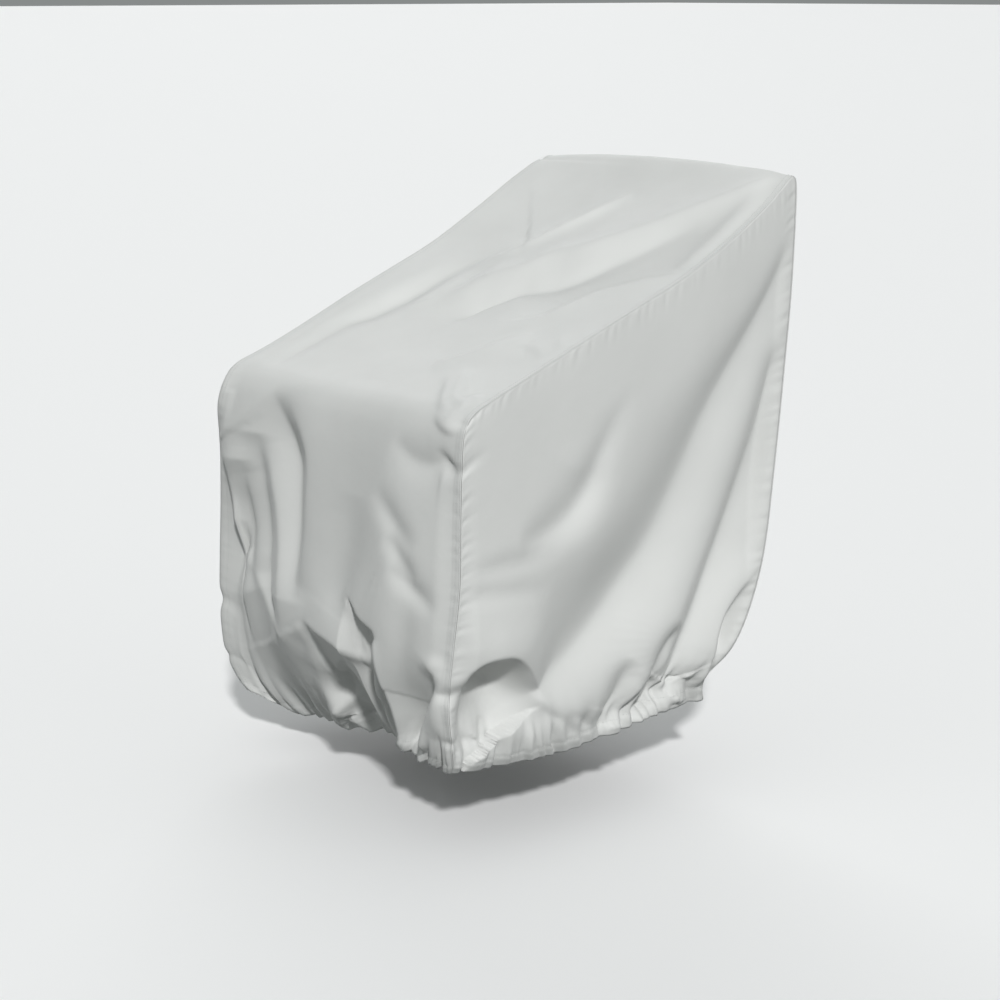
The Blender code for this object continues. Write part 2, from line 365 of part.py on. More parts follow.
# Lines below which the cloth turns under in a short bend. The turned cloth lies
# to the right of the line as it runs.
# Columns: u or a, s or b, depth (mm); and a reach (mm) over which it falls away.
TURNS_MAIN = [
    ("under the overhang in the middle", 14, [
        (-0.32, 0.172, 0), (-0.26, 0.178, 3), (-0.16, 0.165, 10), (-0.06, 0.157, 14),
        (0.03, 0.150, 16), (0.10, 0.142, 17), (0.138, 0.152, 17), (0.128, 0.200, 15),
        (0.105, 0.236, 12), (0.15, 0.230, 16), (0.21, 0.210, 19), (0.28, 0.201, 21),
        (0.335, 0.195, 21), (0.374, 0.175, 20), (0.365, 0.138, 18), (0.360, 0.106, 15),
        (0.40, 0.094, 12), (0.46, 0.083, 9), (0.50, 0.055, 6), (0.58, 0.028, 2.5),
        (0.62, 0.000, 0)]),
]
TURNS_RIGHT = [
    ("under the bag at the front", 26, [
        (-0.05, 0.286, 8), (0.00, 0.290, 10), (0.03, 0.293, 15), (0.06, 0.303, 24),
        (0.10, 0.312, 40), (0.15, 0.307, 70), (0.19, 0.294, 84), (0.225, 0.262, 76),
        (0.25, 0.222, 54), (0.262, 0.200, 34), (0.275, 0.180, 16), (0.29, 0.160, 0)]),
    ("behind the lap low at the back", 76, [
        (0.905, 0.015, 0), (0.925, 0.045, 18), (0.910, 0.065, 34), (0.890, 0.085, 44),
        (0.872, 0.108, 52), (0.874, 0.138, 56), (0.880, 0.172, 56), (0.900, 0.208, 50),
        (0.930, 0.238, 42), (0.960, 0.263, 32), (1.000, 0.286, 16), (1.050, 0.300, 8)]),
]

# Broad swells. Columns: u or a, s or b, height, reach across, reach along (mm)
SWELLS_MAIN = [
    (0.60, 0.31, 22, 105, 150), (0.00, 0.20, 10, 170, 110), (-0.72, 0.36, 24, 100, 120),
]
SWELLS_RIGHT = [
    (0.10, 0.62, 4, 90, 120), (0.35, 0.52, 8, 100, 80),
]
SWELLS_LEFT = [
    (0.12, 0.60, 5, 90, 120),
]

# Gathers along the hem. Columns: wavelength, phase, share
GATHER_WAVES = [(0.083, 0.4, 1.0), (0.131, 2.1, 0.7), (0.211, 4.0, 0.5)]

CLOTH = {"colour": (0.62, 0.64, 0.625), "rough": 0.62, "metallic": 0.0}


# ---------------------------------------------------------------- curve helpers
def catmull_rom(rows, steps=24):
    """Smooth line through the rows of a table, all columns at once."""
    p = np.array(rows, float)
    p = np.vstack([2 * p[0] - p[1], p, 2 * p[-1] - p[-2]])
    out = []
    for i in range(1, len(p) - 2):
        a, b, c, d = p[i - 1:i + 3]
        for k in range(steps):
            t = k / steps
            out.append(0.5 * (2 * b + (c - a) * t + (2 * a - 5 * b + 4 * c - d) * t * t
                              + (3 * b - a - 3 * c + d) * t ** 3))
    out.append(p[-2])
    return np.array(out)


def lookup(table, x):
    """Straight-line reading of a two-column table."""
    t = np.array(table, float)
    return np.interp(x, t[:, 0], t[:, 1])


def smooth(x):
    x = np.clip(x, 0.0, 1.0)
    return x * x * (3 - 2 * x)


LINE = catmull_rom(SEAM)
ARC = np.concatenate([[0.0], np.cumsum(np.linalg.norm(np.diff(LINE[:, :2], axis=0), axis=1))])
LENGTH = ARC[-1]


LEFT_LINE = catmull_rom(LEFT_SEAM, 10)
LIFT_LINE = catmull_rom(LIFT, 10)


def seam_yz(s):
    """y, z and half width of the seam line at arc length s."""
    return np.stack([np.interp(s, ARC, LINE[:, k]) for k in range(3)], axis=-1)


def seam_normal(s):
    """Outward direction of the main panel in the y-z plane."""
    s = np.clip(s, 0.004, LENGTH - 0.004)
    d = seam_yz(np.clip(s + 0.006, 0, LENGTH)) - seam_yz(np.clip(s - 0.006, 0, LENGTH))
    n = np.stack([-d[..., 1], d[..., 0]], axis=-1)
    return n / np.linalg.norm(n, axis=-1, keepdims=True)


def seam_point(s, side, inset=0.0, under=0.0):
    """Point of the right (side 1) or left (side -1) seam, drawn in by inset in x
    and by under towards the inside of the main panel."""
    p, n = seam_yz(s), seam_normal(s)
    t = LEFT_LINE
    out_x, out_y, rise = [np.interp(s, t[:, 0], t[:, k]) if side < 0 else 0.0 * s for k in (1, 2, 3)]
    front = np.where(s < S_RIDGE, 1.0, -1.0)
    x = side * (p[..., 2] + out_x - inset)
    y = p[..., 0] - front * out_y - n[..., 0] * under
    z = p[..., 1] - n[..., 1] * under + rise
    return np.stack([x, y, z], axis=-1)


def notch(s, side, off):
    """Shift of the cloth beside a seam where creases draw the seam in."""
    dip = 0.0 * s
    for place, at, depth, reach in NOTCHES:
        if place == side:
            dip = dip + depth * 1e-3 * np.exp(-((s - at) / (reach * 1e-3)) ** 2)
    dip = dip * (1 - smooth(off / 0.05))
    return np.stack([-side * dip, dip, 0 * dip], axis=-1)


# ------------------------------------------------------------------ plain panels
def main_base(u, s):
    right, left = seam_point(s, 1), seam_point(s, -1)
    level = right * np.array([-1.0, 1.0, 1.0])      # the left seam without its sag
    u1 = u[..., None]
    p = right * (1 + u1) / 2 + level * (1 - u1) / 2 + (left - level) * np.concatenate(
        [((1 - u1) / 2) ** 3, 1 - smooth((1 + u1) * HALF / 0.04), ((1 - u1) / 2) ** 3], axis=-1)
    n = seam_normal(s)
    lift = np.interp(s, LIFT_LINE[:, 0], LIFT_LINE[:, 1]) * (1 - u * u)
    p[..., 1] += n[..., 0] * lift
    p[..., 2] += n[..., 1] * lift
    return p + notch(s, 1, (1 - u) * HALF) + notch(s, -1, (1 + u) * HALF)


def side_base(a, b, side):
    """Side panel spanned between its front edge, arm edge, back edge and hem."""
    def edge(s):
        return seam_point(s, side, inset=THICK, under=SEAM_GAP)
    front = edge(b * S_SHOULDER)
    back = edge(LENGTH - (LENGTH - S_RIDGE) * b)
    arm = edge(S_SHOULDER + (S_RIDGE - S_SHOULDER) * a)
    corners = [edge(np.full_like(a, s)) for s in (0.0, LENGTH, S_SHOULDER, S_RIDGE)]
    a1, b1 = a[..., None], b[..., None]
    hem = corners[0] * (1 - a1) + corners[1] * a1
    p = (front * (1 - a1) + back * a1 + hem * (1 - b1) + arm * b1
         - corners[0] * (1 - a1) * (1 - b1) - corners[1] * a1 * (1 - b1)
         - corners[2] * (1 - a1) * b1 - corners[3] * a1 * b1)
    p[..., 0] += side * SIDE_BELLY * 16 * a * (1 - a) * b * (1 - b)
    p[..., 0] += side * SKIRT_OUT * 4 * a * (1 - a) * (1 - smooth(b / 0.32))
    if side > 0:
        p[..., 2] += lookup(HEM_RAISE, a) * (1 - smooth(b / 0.25))
    return p + notch(b * S_SHOULDER, side, a * 0.60)


# ------------------------------------------------------------------------- folds
def fold_height(points, laid):
    """Sum of all folds at the given flat points."""
    total = np.zeros(len(points))
    for sharp, flat, values in laid:
        h, lo, hi = values.T * 1e-3
        reach = 3.2 * max(lo.max(), hi.max())
        near = np.all((points > flat.min(0) - reach) & (points < flat.max(0) + reach), axis=1)
        pts = points[near]
        best = np.full(len(pts), 1e9)
        value = np.zeros(len(pts))
        for k in range(len(flat) - 1):
            p0, d = flat[k], flat[k + 1] - flat[k]
            rel = pts - p0
            t = np.clip((rel @ d) / (d @ d + 1e-12), 0, 1)
            off = rel - t[:, None] * d
            dist = np.hypot(off[:, 0], off[:, 1])
            cross = d[0] * rel[:, 1] - d[1] * rel[:, 0]
            width = np.where(cross > 0, hi[k] + (hi[k + 1] - hi[k]) * t,
                             lo[k] + (lo[k + 1] - lo[k]) * t)
            soft = np.sqrt(dist * dist + 0.003 ** 2) - 0.003
            here = (h[k] + (h[k + 1] - h[k]) * t) * np.exp(-(soft / width) ** sharp)
            value = np.where(dist < best, here, value)
            best = np.minimum(best, dist)
        total[near] += value
    return total


def turn_height(points, laid):
    total = np.zeros(len(points))
    for reach, flat, values in laid:
        best = np.full(len(points), 1e9)
        value = np.zeros(len(points))
        for k in range(len(flat) - 1):
            d = flat[k + 1] - flat[k]
            rel = points - flat[k]
            t = np.clip((rel @ d) / (d @ d + 1e-12), 0, 1)
            off = rel - t[:, None] * d
            dist = np.hypot(off[:, 0], off[:, 1])
            cross = d[0] * rel[:, 1] - d[1] * rel[:, 0]
            fall = np.where(cross < 0, np.sqrt(dist * dist + 0.004 ** 2) - 0.004, 0.0)
            depth = (values[k, 0] + (values[k + 1, 0] - values[k, 0]) * t) * 1e-3
            part = fall / (reach * 1e-3)
            value = np.where(dist < best, -depth * part / (1 + part ** 3) ** (1 / 3), value)
            best = np.minimum(best, dist)
        total += value
    return total


def tuck_height(points, laid):
    """Cloth drawn in evenly from the tuck line down to the hem."""
    total = np.zeros(len(points))
    for _kind, line, depth in laid:
        x = np.maximum.accumulate(line[:, 0]) + 1e-6 * np.arange(len(line))
        at = np.maximum(np.interp(points[:, 0], x, line[:, 1]), 0.01)
        below = np.maximum(at - points[:, 1], 0)
        below = (np.sqrt(below ** 2 + 0.004 ** 2) - 0.004) / at
        total -= np.interp(points[:, 0], x, depth[:, 0]) * 1e-3 * (1.35 * below - 0.35 * below ** 2)
    return total


def seen(p):
    """Slopes of the line from READ_FROM to a point."""
    along = (p - READ_FROM) @ READ_AXES.T
    return along[..., :2] / along[..., 2:]


def settle(folds, turns, tucks, swells, place, plain, calm, raised):
    """Lay the fold lines on the flat panel. The tables give the place of a line on
    the plain panel; it is moved until the raised cloth lies in line with that."""
    every_row = folds + turns + tucks
    cut = len(folds), len(folds) + len(turns)
    tables = [catmull_rom(rows, 8) for _name, _kind, rows in every_row]
    start = [place(t[:, 0], t[:, 1]) for t in tables]
    target = np.concatenate([seen(plain(t[:, 0], t[:, 1])) for t in tables])
    moved = np.concatenate([t[:, 1] < S_RIDGE + 0.02 for t in tables])[:, None]
    cuts = np.cumsum([len(t) for t in tables])[:-1]
    lines, move = start, 0.0 * target
    for _round in range(7):
        laid = [(row[1], line, t[:, 2:]) for row, line, t in zip(every_row, lines, tables)]
        laid = laid[:cut[0]], laid[cut[0]:cut[1]], laid[cut[1]:]
        if _round == 6 or raised is None:
            return laid
        flat = np.concatenate(lines)
        h = (fold_height(flat, laid[0]) + turn_height(flat, laid[1]) + swell_height(flat, swells, place)) * calm(flat)
        tuck = tuck_height(flat, laid[2])
        now = seen(raised(flat, h, tuck))
        e = 0.002
        du = (seen(raised(flat + [e, 0], h, tuck)) - now) / e
        dv = (seen(raised(flat + [0, e], h, tuck)) - now) / e
        miss = target - now
        det = du[:, 0] * dv[:, 1] - du[:, 1] * dv[:, 0]
        det = np.where(det < 0, -1.0, 1.0) * np.maximum(abs(det), 0.01)
        step = np.stack([miss[:, 0] * dv[:, 1] - miss[:, 1] * dv[:, 0],
                         du[:, 0] * miss[:, 1] - du[:, 1] * miss[:, 0]], axis=-1) / det[:, None]
        move = move + np.clip(step, -0.03, 0.03) * moved
        lines = []
        for from_, by in zip(start, np.split(move, cuts)):
            padded = np.pad(by, ((9, 9), (0, 0)), mode="edge")
            even = [np.convolve(padded[:, k], np.hanning(21)[1:-1] / np.hanning(21).sum(), mode="valid")
                    for k in (0, 1)]
            lines.append(from_ + np.stack(even, axis=-1))
        move = np.concatenate(lines) - np.concatenate(start)


def swell_height(points, swells, place):
    total = np.zeros(len(points))
    for u, v, h, across, along in swells:
        c = place(np.array([u]), np.array([v]))[0]
        d = (points - c) / (np.array([across, along]) * 1e-3)
        total += h * 1e-3 * np.exp(-(d ** 2).sum(1))
    return total


def gathers(along, up):
    wave = sum(share * np.sin(2 * math.pi * along / length + phase)
               for length, phase, share in GATHER_WAVES)
    return GATHER * wave * np.exp(-(up / 0.06) ** 2) * (0.25 + 0.75 * smooth(up / 0.03))


def normals(base, u, v):
    e = 0.004
    du = base(np.clip(u + e, -1, 1), v) - base(np.clip(u - e, -1, 1), v)
    dv = base(u, v + e) - base(u, v - e)
    n = np.cross(du, dv)
    return n / np.linalg.norm(n, axis=-1, keepdims=True)


def main_place(u, s):
    return np.stack([u * HALF, s], axis=-1)


def main_calm(u, s):
    return (smooth((1 - abs(u)) * HALF / np.where((u < 0) & (s < 0.5), 0.025, 0.04))
            * (0.5 + 0.5 * smooth(np.minimum(s, LENGTH - s) / 0.03)))


def main_plain(u, s):
    """Plain panel on which the places of the folds were read."""
    yz, n, lift = seam_yz(s), seam_normal(s), np.interp(s, LIFT_LINE[:, 0], LIFT_LINE[:, 1]) * (1 - u * u)
    return np.stack([u * lookup(PLAIN, s), yz[:, 0] + n[:, 0] * lift, yz[:, 1] + n[:, 1] * lift], axis=-1)


def main_raised(flat, h, tuck):
    """Points of the main panel that stand h out from it and are drawn in by tuck."""
    u, s = flat[:, 0] / HALF, np.clip(flat[:, 1], 0, LENGTH)
    n = seam_normal(s)
    p = main_base(u, s)
    p[:, 1] += n[:, 0] * h - tuck
    p[:, 2] += n[:, 1] * h + TUCK_DROP * tuck
    return p


def side_calm(a, b):
    rim = np.minimum(np.minimum(a, 1 - a) * 0.60, (1 - b) * 0.55)
    return smooth(rim / EDGE_CALM) * (0.6 + 0.4 * smooth(b * 0.55 / 0.03))


def side_raised(flat, h, _tuck):
    """Points of the right side panel from its y and z, standing h out."""
    a, b = side_ab(flat)
    p = side_base(a, b, 1)
    return np.stack([p[:, 0] + h, flat[:, 0], flat[:, 1]], axis=-1)


def side_ab(flat):
    """a and b of a place given by y and z, by stepping towards it."""
    a, b = np.full(len(flat), 0.5), np.full(len(flat), 0.5)
    for _step in range(12):
        p, e = side_base(a, b, 1)[:, 1:], 1e-3
        pa = (side_base(a + e, b, 1)[:, 1:] - p) / e
        pb = (side_base(a, b + e, 1)[:, 1:] - p) / e
        miss = flat - p
        det = pa[:, 0] * pb[:, 1] - pa[:, 1] * pb[:, 0]
        a = np.clip(a + (miss[:, 0] * pb[:, 1] - miss[:, 1] * pb[:, 0]) / det, -0.1, 1.1)
        b = np.clip(b + (pa[:, 0] * miss[:, 1] - pa[:, 1] * miss[:, 0]) / det, -0.1, 1.1)
    return a, b


LAID_MAIN = settle(FOLDS_MAIN, TURNS_MAIN, [("tuck of the lower front", 0, TUCK)], SWELLS_MAIN, main_place,
                   main_plain, lambda flat: main_calm(np.clip(flat[:, 0] / HALF, -1, 1), flat[:, 1]), main_raised)
LAID_SIDE = {
    1: settle(FOLDS_RIGHT, TURNS_RIGHT, [], SWELLS_RIGHT, lambda a, b: side_base(a, b, 1)[..., 1:],
              lambda a, b: side_base(a, b, 1), lambda flat: side_calm(*side_ab(flat)), side_raised),
    -1: settle(FOLDS_LEFT, [], [], SWELLS_LEFT, lambda a, b: side_base(a, b, -1)[..., 1:],
               lambda a, b: side_base(a, b, -1), None, None),
}


def evened(height, flat, laid, cell):
    """Mean of a height over about one cell of the grid, which leaves out what is
    finer than the grid can carry."""
    offsets = [(x, y) for x in (-1, -0.5, 0, 0.5, 1) for y in (-1, -0.5, 0, 0.5, 1)]
    return sum(height(flat + cell * np.array(o), laid) for o in offsets) / len(offsets)


def main_panel(u, s):
    flat = main_place(u, s)
    off = (1 - abs(u)) * HALF
    turned = evened(turn_height, flat, LAID_MAIN[1], 0.018) * smooth(off / 0.04)
    tuck = evened(tuck_height, flat, LAID_MAIN[2], 0.016) * smooth(off / 0.035)
    h = evened(fold_height, flat, LAID_MAIN[0], 0.010) + swell_height(flat, SWELLS_MAIN, main_place)
    h = h * main_calm(u, s) + turned
    h += gathers(flat[:, 0] + 0.7 * (s > 1), np.minimum(s, LENGTH - s)) * smooth(off / 0.02)

    def base(x, y):
        return main_base(x, np.clip(y, 0, LENGTH))
    p = base(u, s) + normals(base, u, s) * h[:, None]
    p[:, 1] -= tuck
    p[:, 2] += TUCK_DROP * tuck
    return p


def side_panel(a, b, side):
    swells = SWELLS_RIGHT if side > 0 else SWELLS_LEFT

    def place(fa, fb):
        return side_base(fa, fb, side)[..., 1:]
    flat = place(a, b)
    rim = np.minimum(np.minimum(a, 1 - a) * 0.60, (1 - b) * 0.55)
    up = b * 0.55
    h = evened(fold_height, flat, LAID_SIDE[side][0], 0.010) + swell_height(flat, swells, place)
    h *= side_calm(a, b)
    h += evened(turn_height, flat, LAID_SIDE[side][1], 0.020) * smooth(rim / 0.040) * (0.35 + 0.65 * smooth(up / 0.10))
    h += gathers(a * 0.53 + side, up) * smooth(rim / 0.02)
    p = side_base(a, b, side)
    p[:, 0] += side * h
    return p


# ------------------------------------------------------------------- the objects
def stations(start, end, count):
    """Grid stations, closer together near both ends of a stretch."""
    t = np.arange(count + 1) / count
    return start + (end - start) * (t - 0.4 / (2 * math.pi) * np.sin(2 * math.pi * t))


def cloth_material(name):
    mat = bpy.data.materials.new(name)
    mat.use_nodes = True
    shader = mat.node_tree.nodes["Principled BSDF"]
    shader.inputs["Base Color"].default_value = (*CLOTH["colour"], 1.0)
    shader.inputs["Roughness"].default_value = CLOTH["rough"]
    shader.inputs["Metallic"].default_value = CLOTH["metallic"]
    return mat


def cloth_object(name, across, along, shape, parent, collection, flip=False):
    """A grid of cloth laid over shape(across, along), thickened outwards."""
    nx, ny = len(across) - 1, len(along) - 1
    bm = bmesh.new()
    bmesh.ops.create_grid(bm, x_segments=nx, y_segments=ny, size=0.5)
    bm.verts.ensure_lookup_table()
    i = np.array([round((v.co.x + 0.5) * nx) for v in bm.verts])
    j = np.array([round((v.co.y + 0.5) * ny) for v in bm.verts])
    for v, p in zip(bm.verts, shape(across[i], along[j])):
        v.co = p
    if flip:
        bmesh.ops.reverse_faces(bm, faces=bm.faces)
    mesh = bpy.data.meshes.new(name)
    bm.to_mesh(mesh)
    bm.free()
    mesh.materials.append(cloth_material("cloth_" + name))
    obj = bpy.data.objects.new(name, mesh)
    collection.objects.link(obj)
    obj.parent = parent
    solid = obj.modifiers.new("cloth_thickness", "SOLIDIFY")
    solid.thickness = THICK
    solid.offset = 1.0
    return obj


def main():
    for old in list(bpy.data.objects):
        bpy.data.objects.remove(old, do_unlink=True)

    cover = bpy.data.collections.new("lounge_chair_cover")
    bpy.context.scene.collection.children.link(cover)

    # The empty carries the panels from the floor stand to the part's own frame.
    top = main_panel(np.array([0.0]), np.array([S_RIDGE]))[0]
    stand = bpy.data.objects.new("stand", None)
    cover.objects.link(stand)
    stand.location = (0.0, -top[1], -top[2])

    rows = np.concatenate([stations(0, S_SHOULDER, FRONT_ROWS),
                           stations(S_SHOULDER, S_RIDGE, TOP_ROWS)[1:],
                           stations(S_RIDGE, LENGTH, BACK_ROWS)[1:]])
    cloth_object("panel_main", np.linspace(-1, 1, ACROSS + 1), rows, main_panel, stand, cover)

    a = (stations(S_SHOULDER, S_RIDGE, TOP_ROWS) - S_SHOULDER) / (S_RIDGE - S_SHOULDER)
    b = stations(0, 1, FRONT_ROWS)
    for name, side in (("panel_side_right", 1), ("panel_side_left", -1)):
        cloth_object(name, a, b, lambda x, y, side=side: side_panel(x, y, side),
                     stand, cover, flip=side < 0)


main()
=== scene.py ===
"""Looks of the lounge chair cover: silver-grey coated polyester in its real folds.

Three panels of cloth with felled, double-stitched seams and a gathered elastic
hem. The shapes are worked out on the floor stand (x right seen from the front,
y to the back, z the height above the floor) and then moved to the part's frame.
Lengths are in metres, fold heights and widths in millimetres.
"""
import math

import bmesh
import bpy
import numpy as np
from mathutils import Matrix, Vector


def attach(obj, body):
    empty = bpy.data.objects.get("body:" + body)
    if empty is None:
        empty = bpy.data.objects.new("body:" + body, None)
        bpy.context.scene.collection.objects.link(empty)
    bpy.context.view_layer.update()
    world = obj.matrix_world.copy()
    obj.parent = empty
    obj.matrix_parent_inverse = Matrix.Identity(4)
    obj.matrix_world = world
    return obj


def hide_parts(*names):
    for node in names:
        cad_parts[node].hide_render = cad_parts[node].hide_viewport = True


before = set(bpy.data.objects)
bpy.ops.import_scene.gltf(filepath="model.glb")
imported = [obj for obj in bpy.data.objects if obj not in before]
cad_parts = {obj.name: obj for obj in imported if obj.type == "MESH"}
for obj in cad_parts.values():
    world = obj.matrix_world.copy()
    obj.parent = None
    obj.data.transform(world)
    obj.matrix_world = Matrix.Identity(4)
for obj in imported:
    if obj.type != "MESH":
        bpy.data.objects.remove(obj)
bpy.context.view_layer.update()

# ------------------------------------------------------------------ main sizes
THICK = 0.0010        # cloth with its coating, as seen at the hem
SEAM_GAP = 0.0004     # side panels stop this far under the main panel
SIDE_BELLY = 0.010
SKIRT_OUT = 0.020     # the hem of a side hangs this far out between its corners
S_SHOULDER = 0.532
S_RIDGE = 1.262
EDGE_CALM = 0.030     # folds die out over this distance before a seam
HALF = 0.288          # half the width between the seams
READ_FROM = np.array([2.572, -2.176, 1.238])   # point from which the folds' places are measured
READ_AXES = np.array([[0.6534, 0.7570, 0.0], [-0.1716, 0.1481, 0.9740], [-0.7373, 0.6364, -0.2267]])
ORIGIN = np.array([0.0, 0.401135, 0.970022])   # underside of the top ridge, on the floor stand

# Seam line of the right side, from the front hem, up the front corner, along the
# arm and the sloping top, over the back corner and down to the rear hem.
# Columns: y, z, half width of the cover there
SEAM = [
    (-0.258, 0.128, 0.243), (-0.268, 0.150, 0.258), (-0.281, 0.190, 0.270),
    (-0.287, 0.250, 0.273), (-0.284, 0.330, 0.281), (-0.279, 0.420, 0.289),
    (-0.276, 0.520, 0.288), (-0.273, 0.600, 0.288), (-0.267, 0.640, 0.287),
    (-0.250, 0.663, 0.286), (-0.212, 0.680, 0.286), (-0.115, 0.717, 0.287),
    (-0.024, 0.752, 0.288), (0.060, 0.783, 0.288), (0.155, 0.818, 0.288),
    (0.250, 0.864, 0.288), (0.325, 0.908, 0.287), (0.368, 0.938, 0.285),
    (0.388, 0.952, 0.283), (0.400, 0.956, 0.282), (0.406, 0.940, 0.283),
    (0.402, 0.866, 0.286), (0.395, 0.766, 0.288), (0.386, 0.670, 0.288),
    (0.377, 0.577, 0.288), (0.366, 0.481, 0.288), (0.356, 0.401, 0.288),
    (0.341, 0.334, 0.288), (0.315, 0.260, 0.284), (0.290, 0.212, 0.275),
    (0.260, 0.174, 0.255), (0.258, 0.150, 0.247), (0.264, 0.128, 0.243),
]

# The left seam sags further out sideways than the right one, in front and low
# down, and stays higher along the top.
# Columns: arc length s, outward shift in x, outward shift in y, raise in z
LEFT_SEAM = [
    (0.000, 0.122, -0.058, -0.034), (0.030, 0.122, -0.058, -0.032), (0.080, 0.119, -0.056, -0.027),
    (0.150, 0.110, -0.051, -0.018), (0.220, 0.090, -0.042, -0.010), (0.300, 0.064, -0.029, -0.004),
    (0.380, 0.042, -0.014, 0.000), (0.430, 0.028, -0.002, 0.000), (0.480, 0.014, 0.010, 0.000),
    (0.530, 0.006, 0.006, 0.000), (0.620, 0.000, 0.000, 0.000),
    (0.800, 0.000, 0.000, 0.006), (0.920, 0.000, 0.000, 0.010), (1.050, 0.000, 0.000, 0.017),
    (1.150, 0.000, 0.000, 0.018), (1.210, 0.000, 0.000, 0.012), (1.250, 0.000, 0.000, 0.003),
    (1.270, 0.000, 0.000, 0.000), (1.900, 0.000, 0.000, 0.000), (1.960, 0.006, 0.006, 0.000),
    (2.040, 0.004, 0.004, 0.000), (2.070, 0.000, 0.000, 0.000),
]

# Half width of the plain panel on which the places of the folds were read.
# Columns: arc length s, half width
PLAIN = [(0.000, 0.243), (0.024, 0.262), (0.064, 0.281), (0.125, 0.290), (0.300, 0.290),
         (0.450, 0.289), (0.600, 0.287), (1.200, 0.286), (1.270, 0.283), (1.340, 0.286),
         (1.450, 0.288), (2.100, 0.288)]

# Places where a seam is drawn in by creases that cross it.
# Columns: side, arc length s, depth, reach (mm)
NOTCHES = [
    (1, 0.134, 6, 11), (1, 0.060, 3, 7), (1, 0.462, 3, 9), (1, 0.528, 2, 6),
    (-1, 0.150, 4, 14), (-1, 0.060, 3, 9),
]

# The hem of the right side hangs a little lower in front than at the back.
# Columns: place a along the hem, raise in z
HEM_RAISE = [(0.00, 0.000), (0.15, -0.005), (0.35, -0.008), (0.60, -0.003),
             (0.75, 0.002), (0.90, 0.005), (1.00, 0.000)]

# How far the middle of the main panel lies outside (+) or inside (-) the seams.
# Columns: arc length s, lift
LIFT = [
    (0.00, 0.000), (0.10, 0.003), (0.30, 0.006), (0.45, 0.003), (0.53, -0.004),
    (0.62, -0.010), (0.75, -0.019), (0.90, -0.018), (1.08, -0.010), (1.20, 0.004),
    (1.25, 0.012), (1.28, 0.013), (1.33, 0.008), (1.48, 0.002), (1.75, -0.008),
    (2.10, 0.000),
]

